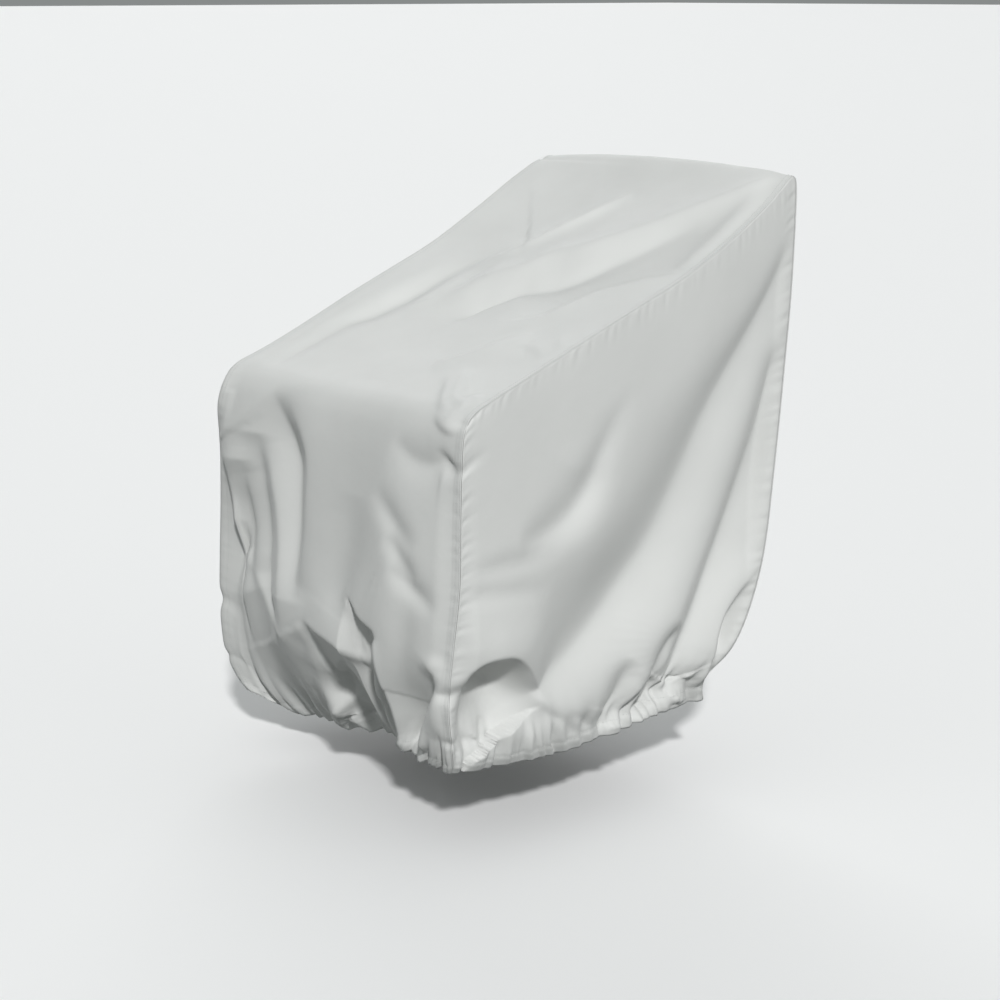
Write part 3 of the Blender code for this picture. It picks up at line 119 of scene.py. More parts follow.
# Folds of the main panel. A fold is a line of points with
# u   place across, -1 at the left seam to 1 at the right seam
# s   arc length from the front hem
# h   height, a ridge above 0 and a trough below 0
# lo  width of its flank towards the left or above
# hi  width of its flank towards the right or below
# and a sharpness: 1 is a crease, 2 is a soft wave. The place is
# the one that the line has on the plain panel; settle() slides it along the line
# to READ_FROM by its own height.
FOLDS_MAIN = [
    ("crescent at the left of the front", 1.3, [
        (-0.62, 0.515, 0, 50, 18), (-0.50, 0.488, -17, 84, 26), (-0.41, 0.466, -29, 92, 30),
        (-0.335, 0.440, -38, 92, 33), (-0.298, 0.412, -42, 90, 34), (-0.294, 0.360, -42, 88, 34),
        (-0.298, 0.310, -36, 76, 32), (-0.312, 0.265, -25, 60, 28), (-0.335, 0.230, -12, 46, 24),
        (-0.36, 0.195, 0, 36, 20)]),
    ("crest of the crescent", 1.2, [
        (-0.46, 0.508, 0, 14, 40), (-0.37, 0.484, 5, 14, 56), (-0.285, 0.452, 9, 14, 60),
        (-0.245, 0.418, 10, 14, 60), (-0.248, 0.360, 10, 14, 60), (-0.256, 0.310, 9, 14, 60),
        (-0.278, 0.262, 6, 14, 50), (-0.31, 0.225, 0, 14, 40)]),
    ("second trough of the front", 1.3, [
        (-0.70, 0.445, 0, 40, 16), (-0.675, 0.414, -17, 54, 24), (-0.636, 0.376, -34, 66, 28),
        (-0.600, 0.330, -46, 70, 32), (-0.572, 0.280, -49, 70, 32), (-0.558, 0.225, -46, 64, 30),
        (-0.532, 0.180, -32, 48, 26), (-0.490, 0.138, -13, 34, 20), (-0.45, 0.105, 0, 26, 16)]),
    ("crest of the second trough", 1.2, [
        (-0.62, 0.430, 0, 12, 40), (-0.565, 0.388, 7, 13, 56), (-0.518, 0.336, 11, 13, 60),
        (-0.498, 0.282, 12, 13, 60), (-0.494, 0.225, 11, 13, 56), (-0.482, 0.180, 7, 12, 50),
        (-0.45, 0.135, 0, 10, 40)]),
    ("third trough of the front", 1.3, [
        (-0.87, 0.395, 0, 26, 12), (-0.835, 0.362, -16, 42, 20), (-0.800, 0.328, -29, 50, 24),
        (-0.778, 0.290, -35, 50, 26), (-0.762, 0.255, -31, 46, 24), (-0.745, 0.222, -18, 34, 18),
        (-0.73, 0.192, 0, 20, 14)]),
    ("crest of the third trough", 1.2, [
        (-0.81, 0.378, 0, 9, 30), (-0.768, 0.348, 6, 10, 44), (-0.742, 0.306, 9, 10, 48),
        (-0.724, 0.262, 8, 10, 44), (-0.712, 0.222, 0, 9, 40)]),
    ("crest at the left corner", 1.6, [
        (-0.94, 0.440, 0, 26, 30), (-0.930, 0.385, 8, 28, 36), (-0.915, 0.325, 11, 28, 38),
        (-0.885, 0.285, 9, 26, 34), (-0.84, 0.252, 0, 22, 24)]),
    ("ridge at the right edge of the hollow", 1.3, [
        (0.36, 0.185, 0, 30, 12), (0.375, 0.145, 12, 56, 14), (0.39, 0.105, 20, 72, 15),
        (0.45, 0.075, 22, 76, 15), (0.54, 0.042, 16, 60, 15), (0.60, 0.010, 8, 40, 14)]),
    ("ridge that runs down to the hem", 1.3, [
        (-0.29, 0.168, 0, 12, 14), (-0.22, 0.142, 14, 17, 20), (-0.16, 0.110, 22, 20, 22),
        (-0.11, 0.074, 26, 22, 22), (-0.085, 0.040, 24, 20, 20), (-0.07, 0.005, 14, 14, 14)]),
    ("small ridge beside its foot", 1.3, [
        (0.17, 0.060, 0, 8, 8), (0.11, 0.060, 8, 9, 9), (0.06, 0.048, 14, 12, 11),
        (0.055, 0.022, 10, 12, 11), (0.06, 0.005, 0, 10, 8)]),
    ("hollow above it", 2.0, [
        (-0.24, 0.158, 0, 16, 18), (-0.10, 0.126, -12, 24, 28), (0.02, 0.108, -22, 32, 34),
        (0.15, 0.104, -28, 38, 38), (0.27, 0.110, -28, 38, 38), (0.35, 0.080, -22, 34, 32),
        (0.44, 0.048, -10, 26, 26), (0.52, 0.020, 0, 20, 20)]),
    ("lip over the hollow, left", 1.8, [
        (0.15, 0.152, 0, 40, 12), (0.10, 0.144, 5, 50, 14), (0.03, 0.150, 7, 55, 14),
        (-0.06, 0.156, 7, 55, 14), (-0.16, 0.164, 5, 50, 14), (-0.26, 0.178, 0, 30, 12)]),
    ("lip over the hollow, right", 1.8, [
        (0.58, 0.028, 0, 30, 12), (0.50, 0.055, 3, 40, 12), (0.46, 0.085, 5, 46, 12),
        (0.40, 0.096, 6, 55, 12), (0.360, 0.106, 7, 60, 14), (0.365, 0.138, 8, 66, 14),
        (0.374, 0.172, 9, 70, 14), (0.335, 0.194, 9, 70, 14), (0.28, 0.201, 8, 66, 14),
        (0.21, 0.210, 7, 60, 12), (0.15, 0.228, 5, 46, 12), (0.09, 0.242, 0, 30, 12)]),
    ("soft trough above the overhang", 1.8, [
        (0.17, 0.390, 0, 30, 30), (0.17, 0.350, -4, 35, 35), (0.12, 0.300, -6, 35, 35),
        (0.04, 0.240, -6, 35, 35), (-0.02, 0.200, 0, 30, 30)]),
    ("slanting crumple, upper", 1.6, [
        (0.33, 0.410, 0, 14, 16), (0.45, 0.378, -6.5, 15, 18), (0.55, 0.355, -6.5, 15, 18),
        (0.66, 0.335, 0, 12, 14)]),
    ("slanting crumple, middle", 1.5, [
        (0.42, 0.345, 0, 12, 14), (0.50, 0.330, -6.5, 13, 15), (0.60, 0.305, -5.2, 13, 15),
        (0.68, 0.290, 0, 10, 12)]),
    ("slanting crumple, lower", 1.5, [
        (0.45, 0.297, 0, 12, 14), (0.58, 0.286, -8.4, 14, 18), (0.70, 0.270, -8.4, 14, 18),
        (0.83, 0.250, 0, 12, 14)]),
    ("upright trough right of the middle", 1.7, [
        (0.62, 0.290, 0, 20, 20), (0.60, 0.220, -6, 22, 22), (0.58, 0.150, -7, 22, 22),
        (0.56, 0.090, -4, 20, 20), (0.55, 0.050, 0, 16, 16)]),
    ("hollow by the right corner", 1.7, [
        (0.86, 0.160, 0, 24, 10), (0.835, 0.135, -24, 34, 12), (0.800, 0.105, -38, 40, 14),
        (0.775, 0.075, -36, 38, 14), (0.765, 0.045, -24, 32, 14), (0.76, 0.010, -8, 24, 14)]),
    ("lip by the right corner", 1.8, [
        (0.81, 0.055, 0, 12, 20), (0.830, 0.085, 6, 10, 24), (0.865, 0.118, 9, 10, 26),
        (0.888, 0.148, 10, 10, 28), (0.870, 0.168, 9, 10, 30), (0.80, 0.168, 6, 12, 34),
        (0.74, 0.155, 0, 14, 30)]),
    ("dent under the right end of the arm", 1.4, [
        (1.00, 0.455, 0, 8, 8), (0.95, 0.462, -7, 9, 10), (0.88, 0.470, -9, 12, 16),
        (0.78, 0.462, -9, 18, 24), (0.66, 0.462, -8, 20, 26), (0.56, 0.472, -5, 18, 22),
        (0.47, 0.487, 0, 12, 16)]),
    ("crease in the dent", 1.1, [
        (0.80, 0.486, 0, 5, 5), (0.90, 0.476, -4, 5, 4), (0.97, 0.463, -5, 4, 4),
        (1.00, 0.456, 0, 4, 4)]),
    ("tip of the arm", 1.8, [
        (0.98, 0.522, 0, 14, 5), (0.93, 0.520, 5, 22, 5), (0.86, 0.520, 6, 24, 5),
        (0.79, 0.526, 5, 22, 5), (0.73, 0.540, 0, 14, 5)]),
    ("taut ridge from the right back corner across the top", 1.2, [
        (0.92, 1.254, 0, 12, 14), (0.80, 1.235, 11, 24, 20), (0.70, 1.215, 17, 36, 26),
        (0.50, 1.170, 25, 58, 34), (0.30, 1.125, 31, 84, 40), (0.10, 1.080, 35, 104, 44),
        (0.00, 1.050, 35, 110, 46), (-0.10, 1.020, 34, 112, 46), (-0.20, 0.980, 31, 108, 46),
        (-0.30, 0.940, 26, 94, 42), (-0.40, 0.890, 18, 76, 38), (-0.50, 0.845, 10, 60, 34),
        (-0.60, 0.800, 0, 44, 28)]),
    ("second ridge above it", 1.0, [
        (0.00, 1.182, 0, 10, 12), (-0.10, 1.166, 8, 14, 14), (-0.20, 1.140, 12.8, 16, 16),
        (-0.30, 1.103, 14.4, 20, 18), (-0.40, 1.048, 14.4, 22, 20), (-0.50, 0.990, 11.2, 22, 20),
        (-0.56, 0.935, 0, 18, 20)]),
    ("trough along the left arm", 1.5, [
        (-0.50, 1.020, 0, 18, 20), (-0.58, 0.955, -6.8, 24, 24), (-0.61, 0.900, -10.8, 26, 26),
        (-0.615, 0.840, -12.2, 26, 26), (-0.64, 0.790, -12.2, 26, 26), (-0.675, 0.750, -12.2, 26, 24),
        (-0.740, 0.715, -10.8, 24, 22), (-0.745, 0.670, -8.1, 20, 18), (-0.74, 0.610, -5.4, 18, 16),
        (-0.74, 0.550, 0, 14, 14)]),
    ("trough left of the taut ridge", 1.6, [
        (-0.40, 1.000, 0, 16, 20), (-0.44, 0.950, -6, 20, 24), (-0.455, 0.900, -7.5, 20, 26),
        (-0.45, 0.850, -6, 20, 24), (-0.44, 0.800, 0, 16, 18)]),
    ("trough of the seat", 1.2, [
        (0.68, 1.130, 0, 12, 14), (0.55, 1.095, -5.6, 16, 20), (0.40, 1.040, -8.4, 18, 24),
        (0.25, 1.000, -11.2, 18, 28), (0.10, 0.965, -12.6, 18, 28), (0.00, 0.942, -14, 20, 26),
        (-0.07, 0.915, -16.8, 30, 16), (-0.10, 0.870, -18.2, 34, 12), (-0.105, 0.820, -15.4, 34, 12),
        (-0.12, 0.780, 0, 20, 16)]),
    ("soft rise of the seat", 2.0, [
        (0.26, 0.900, 0, 50, 40), (0.22, 0.840, 6, 50, 40), (0.19, 0.780, 6, 50, 40),
        (0.14, 0.700, 0, 40, 30)]),
    ("inner edge of the right arm, rear", 1.2, [
        (0.99, 0.978, 0, 8, 16), (0.90, 0.985, 4.2, 10, 24), (0.75, 0.980, 7, 12, 34),
        (0.60, 0.955, 9.8, 14, 40), (0.51, 0.932, 11.2, 16, 44), (0.465, 0.900, 12.6, 20, 46),
        (0.43, 0.868, 12.6, 22, 46), (0.38, 0.842, 9.8, 20, 40), (0.30, 0.822, 7, 16, 30),
        (0.20, 0.815, 0, 12, 20)]),
    ("inner edge of the right arm, front", 1.2, [
        (0.56, 0.785, 0, 10, 20), (0.47, 0.778, 5.6, 12, 34), (0.40, 0.762, 9.8, 16, 44),
        (0.36, 0.738, 11.2, 20, 46), (0.31, 0.705, 9.8, 20, 44), (0.26, 0.680, 7, 18, 36),
        (0.22, 0.655, 0, 14, 24)]),
    ("first crumple towards the arm corner", 1.3, [
        (0.40, 0.672, 0, 8, 10), (0.52, 0.642, 5.1, 9, 12), (0.62, 0.608, 6.8, 9, 12),
        (0.72, 0.582, 6.8, 9, 12), (0.83, 0.572, 5.1, 8, 10), (0.90, 0.566, 0, 6, 8)]),
    ("second crumple towards the arm corner", 1.3, [
        (0.38, 0.648, 0, 7, 9), (0.50, 0.622, 5.1, 8, 10), (0.60, 0.590, 6, 8, 10),
        (0.70, 0.562, 5.1, 8, 10), (0.80, 0.545, 0, 6, 8)]),
    ("third crumple towards the arm corner", 1.3, [
        (0.50, 0.665, 0, 6, 8), (0.60, 0.636, 4.2, 7, 9), (0.72, 0.605, 5.1, 7, 9),
        (0.80, 0.590, 0, 6, 8)]),
    ("crumple round the arm corner", 1.3, [
        (0.78, 0.588, 0, 6, 8), (0.88, 0.584, 4.8, 7, 9), (0.94, 0.562, 4.8, 7, 8),
        (0.975, 0.532, 0, 5, 6)]),
    ("wrinkle on the right arm", 1.3, [
        (0.50, 0.757, 0, 7, 9), (0.65, 0.752, 3.6, 8, 10), (0.78, 0.738, 3.6, 8, 10),
        (0.88, 0.715, 0, 6, 8)]),
    ("short wrinkle on the right arm", 1.3, [
        (0.74, 0.785, 0, 6, 8), (0.83, 0.765, 3.6, 7, 9), (0.93, 0.745, 0, 6, 8)]),
    ("ridge by the right back corner", 1.5, [
        (0.955, 1.245, 0, 14, 8), (0.925, 1.200, 5, 20, 10), (0.905, 1.140, 8, 24, 12),
        (0.90, 1.080, 8, 24, 12), (0.905, 1.030, 6, 20, 12), (0.93, 0.995, 0, 12, 8)]),
    ("fine line along the top ridge", 1.2, [
        (0.93, 1.264, 0, 4, 6), (0.75, 1.276, 2.5, 6, 9), (0.55, 1.288, 2.5, 6, 10),
        (0.35, 1.300, 0, 6, 8)]),
    ("top of the left arm", 2.0, [
        (-0.84, 1.020, 0, 20, 22), (-0.86, 0.900, 5, 26, 28), (-0.86, 0.760, 6, 28, 28),
        (-0.86, 0.620, 4, 26, 26), (-0.86, 0.540, 0, 20, 20)]),
    ("back, trough from the left corner", 1.6, [
        (-0.90, 1.330, 0, 20, 22), (-0.70, 1.420, -7, 30, 40), (-0.50, 1.560, -12, 40, 60),
        (-0.38, 1.740, -13, 45, 70), (-0.34, 1.920, -9, 40, 50), (-0.33, 2.040, 0, 30, 34)]),
    ("back, trough from the right corner", 1.6, [
        (0.90, 1.320, 0, 20, 20), (0.76, 1.440, -8, 34, 28), (0.62, 1.620, -13, 50, 36),
        (0.50, 1.800, -14, 56, 40), (0.44, 1.940, -9, 44, 36), (0.42, 2.050, 0, 30, 26)]),
    ("back, upright trough", 1.8, [
        (0.06, 1.500, 0, 30, 30), (0.04, 1.640, -6, 40, 40), (0.08, 1.800, -9, 44, 44),
        (0.10, 1.940, -8, 36, 36), (0.10, 2.050, 0, 26, 26)]),
    ("back, bag over the hem", 1.8, [
        (0.80, 1.960, 0, 60, 34), (0.50, 1.975, 12, 80, 40), (0.10, 1.965, 17, 90, 44),
        (-0.35, 1.975, 15, 86, 42), (-0.80, 1.955, 0, 60, 34)]),
]

# Folds of the right side panel. The place is a from the front seam (0) to the
# back seam (1), and b from the hem (0) to the arm seam (1); lo is above or in
# front of the line, hi below or behind it.
FOLDS_RIGHT = [
    ("long trough from the back corner", 1.5, [
        (1.00, 0.892, 0, 16, 20), (0.93, 0.845, -9, 18, 40), (0.85, 0.797, -15, 24, 54),
        (0.76, 0.738, -21, 36, 66), (0.69, 0.672, -28, 50, 80), (0.62, 0.575, -35, 66, 88),
        (0.545, 0.470, -40, 78, 86), (0.45, 0.382, -42, 82, 76), (0.37, 0.302, -36, 80, 58),
        (0.305, 0.248, -25, 60, 42), (0.265, 0.215, -12, 40, 28), (0.235, 0.190, 0, 24, 20)]),
    ("taut ridge behind it", 2.0, [
        (0.98, 0.720, 0, 40, 30), (0.85, 0.560, 10, 60, 40), (0.75, 0.400, 14, 70, 44),
        (0.69, 0.270, 16, 70, 40), (0.66, 0.190, 12, 50, 30), (0.66, 0.120, 0, 30, 20)]),
    ("trough behind the taut ridge", 1.4, [
        (1.00, 0.690, 0, 16, 20), (0.955, 0.664, -14, 24, 36), (0.912, 0.612, -24, 30, 50),
        (0.872, 0.545, -30, 34, 58), (0.835, 0.475, -33, 36, 60), (0.797, 0.398, -35, 36, 58),
        (0.765, 0.325, -37, 36, 52), (0.750, 0.268, -38, 36, 46), (0.740, 0.205, -39, 36, 40),
        (0.732, 0.150, -37, 34, 32), (0.722, 0.110, -31, 28, 24), (0.728, 0.085, -27, 26, 20),
        (0.745, 0.060, -21, 22, 18), (0.765, 0.030, -10, 16, 16)]),
    ("foot of the taut ridge", 1.6, [
        (0.705, 0.115, 0, 12, 20), (0.722, 0.098, 11, 14, 36), (0.745, 0.074, 13, 14, 36),
        (0.765, 0.050, 8, 12, 26), (0.780, 0.030, 0, 10, 16)]),
    ("bag that hangs over at the front", 1.8, [
        (0.262, 0.200, 0, 40, 14), (0.250, 0.222, 10, 50, 16), (0.225, 0.262, 20, 56, 18),
        (0.195, 0.292, 26, 66, 18), (0.150, 0.306, 27, 72, 18), (0.100, 0.312, 22, 74, 18),
        (0.060, 0.307, 17, 70, 18), (0.025, 0.296, 14, 60, 18), (-0.03, 0.286, 12, 50, 18)]),
    ("dent in the upper half", 1.6, [
        (0.48, 0.830, 0, 14, 14), (0.42, 0.775, -3, 18, 18), (0.375, 0.715, -8, 22, 20),
        (0.350, 0.670, -14, 30, 22), (0.32, 0.637, -17, 36, 24), (0.28, 0.610, -16, 36, 24),
        (0.22, 0.596, -9, 28, 20), (0.16, 0.600, 0, 16, 14)]),
    ("short fold to the hem, first", 1.5, [
        (0.575, 0.186, 0, 10, 8), (0.545, 0.168, -12, 20, 14), (0.527, 0.142, -20, 26, 16),
        (0.520, 0.108, -24, 28, 16), (0.524, 0.078, -24, 26, 16), (0.535, 0.050, -19, 22, 14),
        (0.550, 0.020, -8, 14, 12)]),
    ("short fold to the hem, second", 1.5, [
        (0.720, 0.224, 0, 10, 8), (0.688, 0.212, -14, 20, 14), (0.662, 0.182, -24, 28, 16),
        (0.646, 0.142, -31, 33, 16), (0.638, 0.105, -34, 36, 14), (0.644, 0.070, -32, 36, 12),
        (0.654, 0.046, -25, 32, 12), (0.662, 0.015, -10, 20, 12)]),
    ("fold that laps over low at the back", 1.4, [
        (1.000, 0.288, 0, 30, 10), (0.955, 0.263, 8, 40, 14), (0.925, 0.238, 12, 46, 16),
        (0.897, 0.208, 15, 50, 16), (0.878, 0.172, 17, 50, 16), (0.872, 0.138, 17, 46, 16),
        (0.872, 0.108, 15, 40, 16), (0.892, 0.082, 12, 30, 14), (0.915, 0.060, 8, 20, 12),
        (0.930, 0.040, 0, 14, 8)]),
    ("hollow behind that fold", 1.5, [
        (1.000, 0.245, 0, 14, 24), (0.965, 0.228, -6, 20, 34), (0.940, 0.190, -9, 26, 40),
        (0.918, 0.150, -10, 28, 40), (0.905, 0.115, -9, 26, 36), (0.920, 0.085, -6, 20, 26),
        (0.940, 0.055, 0, 12, 16)]),
    ("slanting pucker above the hem, first", 1.2, [
        (0.255, 0.162, 0, 6, 6), (0.300, 0.127, -4, 7, 8), (0.350, 0.100, -5, 8, 9),
        (0.400, 0.060, -5, 8, 9), (0.440, 0.030, 0, 6, 7)]),
    ("slanting pucker above the hem, second", 1.2, [
        (0.360, 0.118, 0, 6, 6), (0.420, 0.088, -4, 7, 8), (0.470, 0.055, -5, 8, 9),
        (0.505, 0.025, 0, 6, 7)]),
    ("soft valley by the front corner", 1.8, [
        (0.065, 0.240, 0, 10, 10), (0.100, 0.170, -5, 12, 12), (0.120, 0.120, -5, 12, 12),
        (0.150, 0.070, -4, 12, 12), (0.180, 0.035, 0, 8, 8)]),
    ("crease at the front corner", 1.6, [
        (0.000, 0.128, 0, 6, 6), (0.020, 0.127, -5, 7, 7), (0.045, 0.122, -4, 7, 7),
        (0.075, 0.114, 0, 5, 5)]),
    ("faint ripple by the front seam, upper", 1.8, [
        (0.30, 0.540, 0, 14, 14), (0.20, 0.545, -2.5, 14, 14), (0.10, 0.560, -3, 14, 14),
        (0.02, 0.580, 0, 10, 10)]),
    ("faint ripple by the front seam, lower", 1.8, [
        (0.26, 0.440, 0, 14, 14), (0.16, 0.470, -2.5, 14, 14), (0.07, 0.500, -3, 14, 14),
        (0.01, 0.510, 0, 10, 10)]),
]

# Folds of the left side panel, placed in the same way.
FOLDS_LEFT = [
    ("long trough from the back corner", 1.7, [
        (1.00, 0.930, 0, 20, 28), (0.88, 0.860, -8, 32, 44), (0.76, 0.740, -14, 46, 60),
        (0.66, 0.610, -19, 60, 76), (0.58, 0.480, -22, 66, 80), (0.51, 0.350, -22, 60, 76),
        (0.45, 0.240, -15, 46, 56), (0.41, 0.140, 0, 30, 36)]),
    ("taut ridge behind it", 1.4, [
        (1.00, 0.780, 0, 36, 14), (0.92, 0.670, 7, 50, 16), (0.85, 0.530, 11, 60, 20),
        (0.79, 0.390, 13, 64, 22), (0.74, 0.260, 12, 56, 20), (0.71, 0.150, 6, 40, 16),
        (0.70, 0.080, 0, 24, 12)]),
    ("trough from the arm corner", 1.6, [
        (0.02, 0.880, 0, 16, 18), (0.10, 0.760, -6, 24, 26), (0.17, 0.600, -10, 32, 36),
        (0.22, 0.440, -12, 36, 40), (0.25, 0.300, -9, 30, 34), (0.27, 0.180, 0, 20, 24)]),
    ("bag that hangs over at the front", 1.9, [
        (0.34, 0.190, 0, 50, 24), (0.26, 0.240, 13, 70, 28), (0.18, 0.265, 19, 80, 30),
        (0.10, 0.265, 18, 75, 28), (0.03, 0.245, 8, 50, 24)]),
    ("short fold to the hem, first", 1.4, [
        (0.60, 0.200, 0, 12, 9), (0.57, 0.150, -8, 15, 11), (0.55, 0.090, -10, 16, 11),
        (0.54, 0.035, -2, 12, 9)]),
    ("fold that laps over low at the back", 1.4, [
        (1.00, 0.330, 0, 28, 12), (0.94, 0.260, 12, 42, 15), (0.90, 0.180, 15, 46, 16),
        (0.88, 0.100, 12, 38, 15), (0.87, 0.040, 2, 24, 12)]),
]

# The lower front is drawn in by the hem elastic from this line downwards.
# Columns: u, s of the line, depth at the hem below it (mm)
TUCK = [
    (-1.10, 0.420, 76), (-1.00, 0.385, 78), (-0.95, 0.345, 86), (-0.90, 0.305, 94),
    (-0.86, 0.285, 100), (-0.82, 0.262, 108), (-0.77, 0.236, 114), (-0.70, 0.220, 116),
    (-0.62, 0.190, 114), (-0.55, 0.161, 108), (-0.49, 0.139, 102), (-0.44, 0.137, 100),
    (-0.38, 0.147, 98), (-0.32, 0.160, 98), (-0.26, 0.172, 96), (-0.16, 0.163, 93),
    (-0.06, 0.156, 90), (0.03, 0.150, 88), (0.09, 0.152, 86), (0.12, 0.195, 88),
    (0.15, 0.228, 92), (0.21, 0.210, 96), (0.28, 0.201, 94), (0.335, 0.193, 88),
    (0.365, 0.175, 78), (0.385, 0.120, 62), (0.42, 0.094, 50), (0.47, 0.080, 38),
    (0.52, 0.052, 22), (0.60, 0.022, 8), (0.66, 0.010, 0), (1.05, 0.010, 0),
]
TUCK_DROP = 0.36      # how far the drawn-in cloth hangs lower, for each unit of depth

# Lines below which the cloth turns under in a short bend. The turned cloth lies
# to the right of the line as it runs.
# Columns: u or a, s or b, depth (mm); and a reach (mm) over which it falls away.
TURNS_MAIN = [
    ("under the overhang in the middle", 14, [
        (-0.32, 0.172, 0), (-0.26, 0.178, 3), (-0.16, 0.165, 10), (-0.06, 0.157, 14),
        (0.03, 0.150, 16), (0.10, 0.142, 17), (0.138, 0.152, 17), (0.128, 0.200, 15),
        (0.105, 0.236, 12), (0.15, 0.230, 16), (0.21, 0.210, 19), (0.28, 0.201, 21),
        (0.335, 0.195, 21), (0.374, 0.175, 20), (0.365, 0.138, 18), (0.360, 0.106, 15),
        (0.40, 0.094, 12), (0.46, 0.083, 9), (0.50, 0.055, 6), (0.58, 0.028, 2.5),
        (0.62, 0.000, 0)]),
]
TURNS_RIGHT = [
    ("under the bag at the front", 26, [
        (-0.05, 0.290, 0), (0.00, 0.290, 0), (0.03, 0.293, 6), (0.06, 0.303, 20),
        (0.10, 0.312, 42), (0.15, 0.307, 70), (0.19, 0.294, 84), (0.225, 0.262, 76),
        (0.25, 0.222, 54), (0.262, 0.200, 34), (0.275, 0.180, 16), (0.29, 0.160, 0)]),
    ("behind the lap low at the back", 62, [
        (0.925, -0.02, 30), (0.925, 0.030, 38), (0.910, 0.065, 50), (0.890, 0.085, 60),
        (0.872, 0.108, 66), (0.874, 0.138, 68), (0.880, 0.172, 66), (0.900, 0.208, 58),
        (0.930, 0.238, 48), (0.960, 0.263, 36), (1.000, 0.286, 20), (1.050, 0.300, 10)]),
]

# Broad swells. Columns: u or a, s or b, height, reach across, reach along (mm)
SWELLS_MAIN = [
    (0.60, 0.31, 22, 105, 150), (0.00, 0.20, 10, 170, 110), (-0.72, 0.36, 24, 100, 120),
]
SWELLS_RIGHT = [
    (0.10, 0.62, 4, 90, 120), (0.35, 0.52, 8, 100, 80),
]
SWELLS_LEFT = [
    (0.12, 0.60, 5, 90, 120),
]

# ---------------------------------------------------------------- curve helpers
def catmull_rom(rows, steps=24):
    """Smooth line through the rows of a table, all columns at once."""
    p = np.array(rows, float)
    p = np.vstack([2 * p[0] - p[1], p, 2 * p[-1] - p[-2]])
    out = []
    for i in range(1, len(p) - 2):
        a, b, c, d = p[i - 1:i + 3]
        for k in range(steps):
            t = k / steps
            out.append(0.5 * (2 * b + (c - a) * t + (2 * a - 5 * b + 4 * c - d) * t * t
                              + (3 * b - a - 3 * c + d) * t ** 3))
    out.append(p[-2])
    return np.array(out)


def lookup(table, x):
    """Straight-line reading of a two-column table."""
    t = np.array(table, float)
    return np.interp(x, t[:, 0], t[:, 1])


def smooth(x):
    x = np.clip(x, 0.0, 1.0)
    return x * x * (3 - 2 * x)


LINE = catmull_rom(SEAM)
ARC = np.concatenate([[0.0], np.cumsum(np.linalg.norm(np.diff(LINE[:, :2], axis=0), axis=1))])
LENGTH = ARC[-1]


LEFT_LINE = catmull_rom(LEFT_SEAM, 10)
LIFT_LINE = catmull_rom(LIFT, 10)


def seam_yz(s):
    """y, z and half width of the seam line at arc length s."""
    return np.stack([np.interp(s, ARC, LINE[:, k]) for k in range(3)], axis=-1)


def seam_normal(s):
    """Outward direction of the main panel in the y-z plane."""
    s = np.clip(s, 0.004, LENGTH - 0.004)
    d = seam_yz(np.clip(s + 0.006, 0, LENGTH)) - seam_yz(np.clip(s - 0.006, 0, LENGTH))
    n = np.stack([-d[..., 1], d[..., 0]], axis=-1)
    return n / np.linalg.norm(n, axis=-1, keepdims=True)


def seam_point(s, side, inset=0.0, under=0.0):
    """Point of the right (side 1) or left (side -1) seam, drawn in by inset in x
    and by under towards the inside of the main panel."""
    p, n = seam_yz(s), seam_normal(s)
    t = LEFT_LINE
    out_x, out_y, rise = [np.interp(s, t[:, 0], t[:, k]) if side < 0 else 0.0 * s for k in (1, 2, 3)]
    front = np.where(s < S_RIDGE, 1.0, -1.0)
    x = side * (p[..., 2] + out_x - inset)
    y = p[..., 0] - front * out_y - n[..., 0] * under
    z = p[..., 1] - n[..., 1] * under + rise
    return np.stack([x, y, z], axis=-1)


def notch(s, side, off):
    """Shift of the cloth beside a seam where creases draw the seam in."""
    dip = 0.0 * s
    for place, at, depth, reach in NOTCHES:
        if place == side:
            dip = dip + depth * 1e-3 * np.exp(-((s - at) / (reach * 1e-3)) ** 2)
    dip = dip * (1 - smooth(off / 0.05))
    return np.stack([-side * dip, dip, 0 * dip], axis=-1)


# ------------------------------------------------------------------ plain panels
def main_base(u, s):
    right, left = seam_point(s, 1), seam_point(s, -1)
    level = right * np.array([-1.0, 1.0, 1.0])      # the left seam without its sag
    u1 = u[..., None]
    p = right * (1 + u1) / 2 + level * (1 - u1) / 2 + (left - level) * np.concatenate(
        [((1 - u1) / 2) ** 3, 1 - smooth((1 + u1) * HALF / 0.04), ((1 - u1) / 2) ** 3], axis=-1)
    n = seam_normal(s)
    lift = np.interp(s, LIFT_LINE[:, 0], LIFT_LINE[:, 1]) * (1 - u * u)
    p[..., 1] += n[..., 0] * lift
    p[..., 2] += n[..., 1] * lift
    return p + notch(s, 1, (1 - u) * HALF) + notch(s, -1, (1 + u) * HALF)


